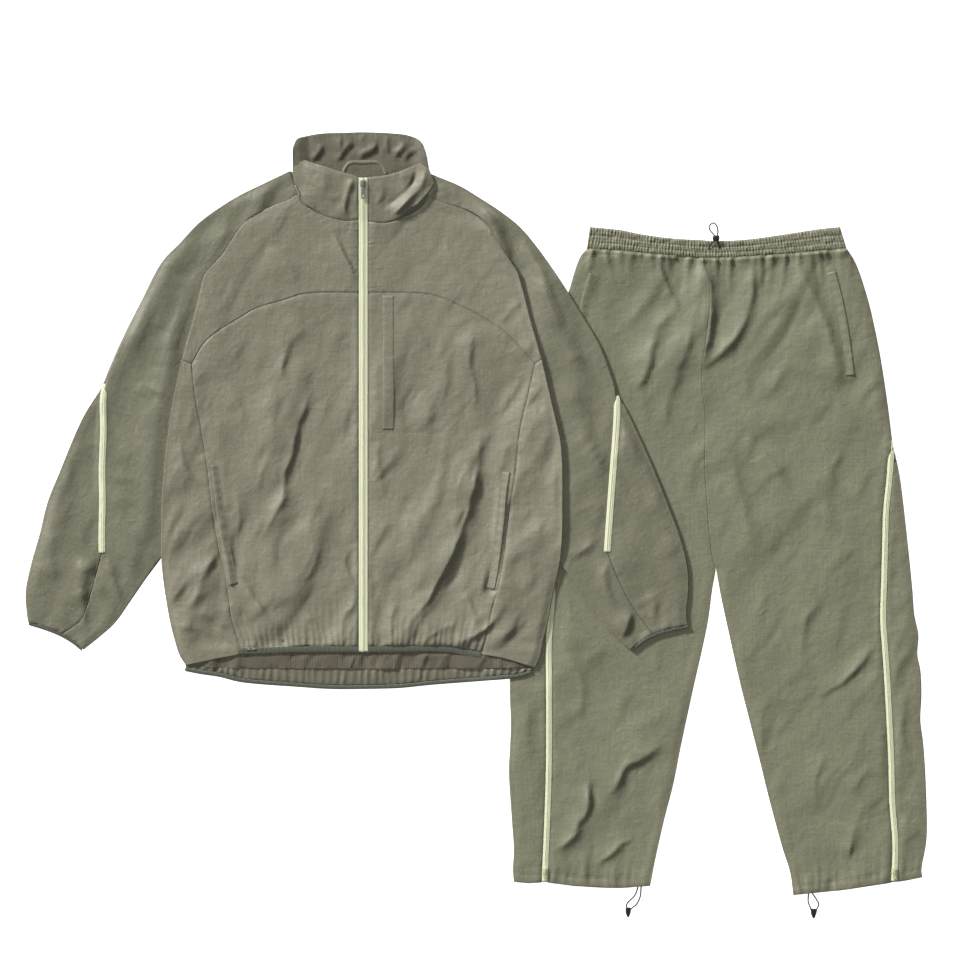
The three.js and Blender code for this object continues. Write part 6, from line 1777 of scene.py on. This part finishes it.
class TRACKSUIT_OT_sliders(bpy.types.Operator):
    """Makes the zips' cast sliders and their hinged pull tabs"""
    bl_idname = "tracksuit.sliders"
    bl_label = "Zip sliders"

    def execute(self, context):
        finish = finishes()
        slope = math.atan2(COLLAR_TOP - BODY_TOP - NECK_RISE, ZIP_END - ZIP_NECK)
        level = float(zip_level(np.array(SLIDER_AT))) + 0.5
        kinds = [("front", (JACKET_AT[0], JACKET_AT[1] + SLIDER_AT, level + SLIDER_RISE), slope,
                  (18, 6, (2.4, 4), 13), "zinc", "front_zip_slider", "front_zip_pull", "front_pull")]
        for word in SIDES:
            x, y = TROUSERS[word]["zip"][0]
            place = (TROUSERS_AT[0] + x, TROUSERS_AT[1] + y + LEG_SLIDER_UP, LEG_TOP + 0.6 + SLIDER_RISE)
            kinds.append((f"leg_{word}", place, 0.0, (6, 5, (2.6, 2.6), 3), "pale",
                          f"leg_zip_slider_{word}", f"leg_zip_pull_{word}", f"leg_pull_{word}"))
        for word, place, tilt, pull, metal, slider_node, pull_node, body in kinds:
            slider, handle = slider_pieces(word, place, tilt, pull, finish[metal])
            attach(slider, GARMENTS)
            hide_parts(slider_node)
            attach(handle, body)
            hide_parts(pull_node)
        return {"FINISHED"}


class TRACKSUIT_OT_stage(bpy.types.Operator):
    """Lays the pale surface and sets the camera and the lights"""
    bl_idname = "tracksuit.stage"
    bl_label = "Stage"

    def execute(self, context):
        sizes = context.scene.tracksuit_sizes
        bpy.ops.object.select_all(action="DESELECT")
        board_size, below_suit = 12, 0.0004
        bpy.ops.mesh.primitive_plane_add(size=board_size, location=(0, 0, -below_suit))
        floor = context.object
        floor.name = "surface"
        floor.data.materials.append(board("matt_white_board"))
        camera = bpy.data.cameras.new("camera")
        camera.sensor_width = 36
        camera.lens = camera.sensor_width * sizes.camera_height / sizes.picture_width
        view = bpy.data.objects.new("camera", camera)
        view.location = (0.0055, 0.0516, sizes.camera_height)
        context.scene.collection.objects.link(view)
        context.scene.camera = view
        # Each sun's place, strength and width in degrees, and whether it casts shadows
        suns = (("key", (-2.6, 2.5, 1.9), 1.4, 16, False), ("shaded", (-2.5, 2.5, 1.95), 3.9, 10, True))
        for name, place, energy, angle, shadow in suns:
            light = bpy.data.lights.new(name, "SUN")
            light.use_shadow = shadow
            light.energy, light.angle = energy, math.radians(angle)
            lamp = bpy.data.objects.new(name, light)
            lamp.location = place
            lamp.rotation_euler = (Vector((0, 0, 0)) - Vector(place)).to_track_quat("-Z", "Y").to_euler()
            context.scene.collection.objects.link(lamp)
        world = bpy.data.worlds.new("soft_light")
        world.use_nodes = True
        fill(world.node_tree, world.node_tree.nodes["Background"], {"Color": (1, 1, 1, 1), "Strength": 0.22})
        context.scene.world = world
        context.scene.view_settings.view_transform = "Standard"
        return {"FINISHED"}


MAKERS = (
    TRACKSUIT_OT_stage, TRACKSUIT_OT_jacket_body, TRACKSUIT_OT_sleeves, TRACKSUIT_OT_jacket_back,
    TRACKSUIT_OT_lining, TRACKSUIT_OT_collar, TRACKSUIT_OT_trims, TRACKSUIT_OT_trousers,
    TRACKSUIT_OT_waistband, TRACKSUIT_OT_zips, TRACKSUIT_OT_sewing, TRACKSUIT_OT_cords,
    TRACKSUIT_OT_sliders,
)


class TRACKSUIT_PT_panel(bpy.types.Panel):
    """Lists the pieces of the suit"""
    bl_label = "Tracksuit"
    bl_idname = "TRACKSUIT_PT_panel"
    bl_space_type = "VIEW_3D"
    bl_region_type = "UI"
    bl_category = "Tracksuit"

    def draw(self, context):
        for group in (context.scene.tracksuit_sizes, context.scene.tracksuit_colours):
            for name in group.__annotations__:
                self.layout.prop(group, name)
        for maker in MAKERS:
            self.layout.operator(maker.bl_idname)


CLASSES = (TracksuitSizes, TracksuitColours, *MAKERS, TRACKSUIT_PT_panel)


def register():
    for item in CLASSES:
        bpy.utils.register_class(item)
    bpy.types.Scene.tracksuit_sizes = bpy.props.PointerProperty(type=TracksuitSizes)
    bpy.types.Scene.tracksuit_colours = bpy.props.PointerProperty(type=TracksuitColours)


def unregister():
    del bpy.types.Scene.tracksuit_colours
    del bpy.types.Scene.tracksuit_sizes
    for item in reversed(CLASSES):
        bpy.utils.unregister_class(item)


def main():
    register()
    for maker in MAKERS:
        group, name = maker.bl_idname.split(".")
        getattr(getattr(bpy.ops, group), name)()


if __name__ == "__main__":
    main()
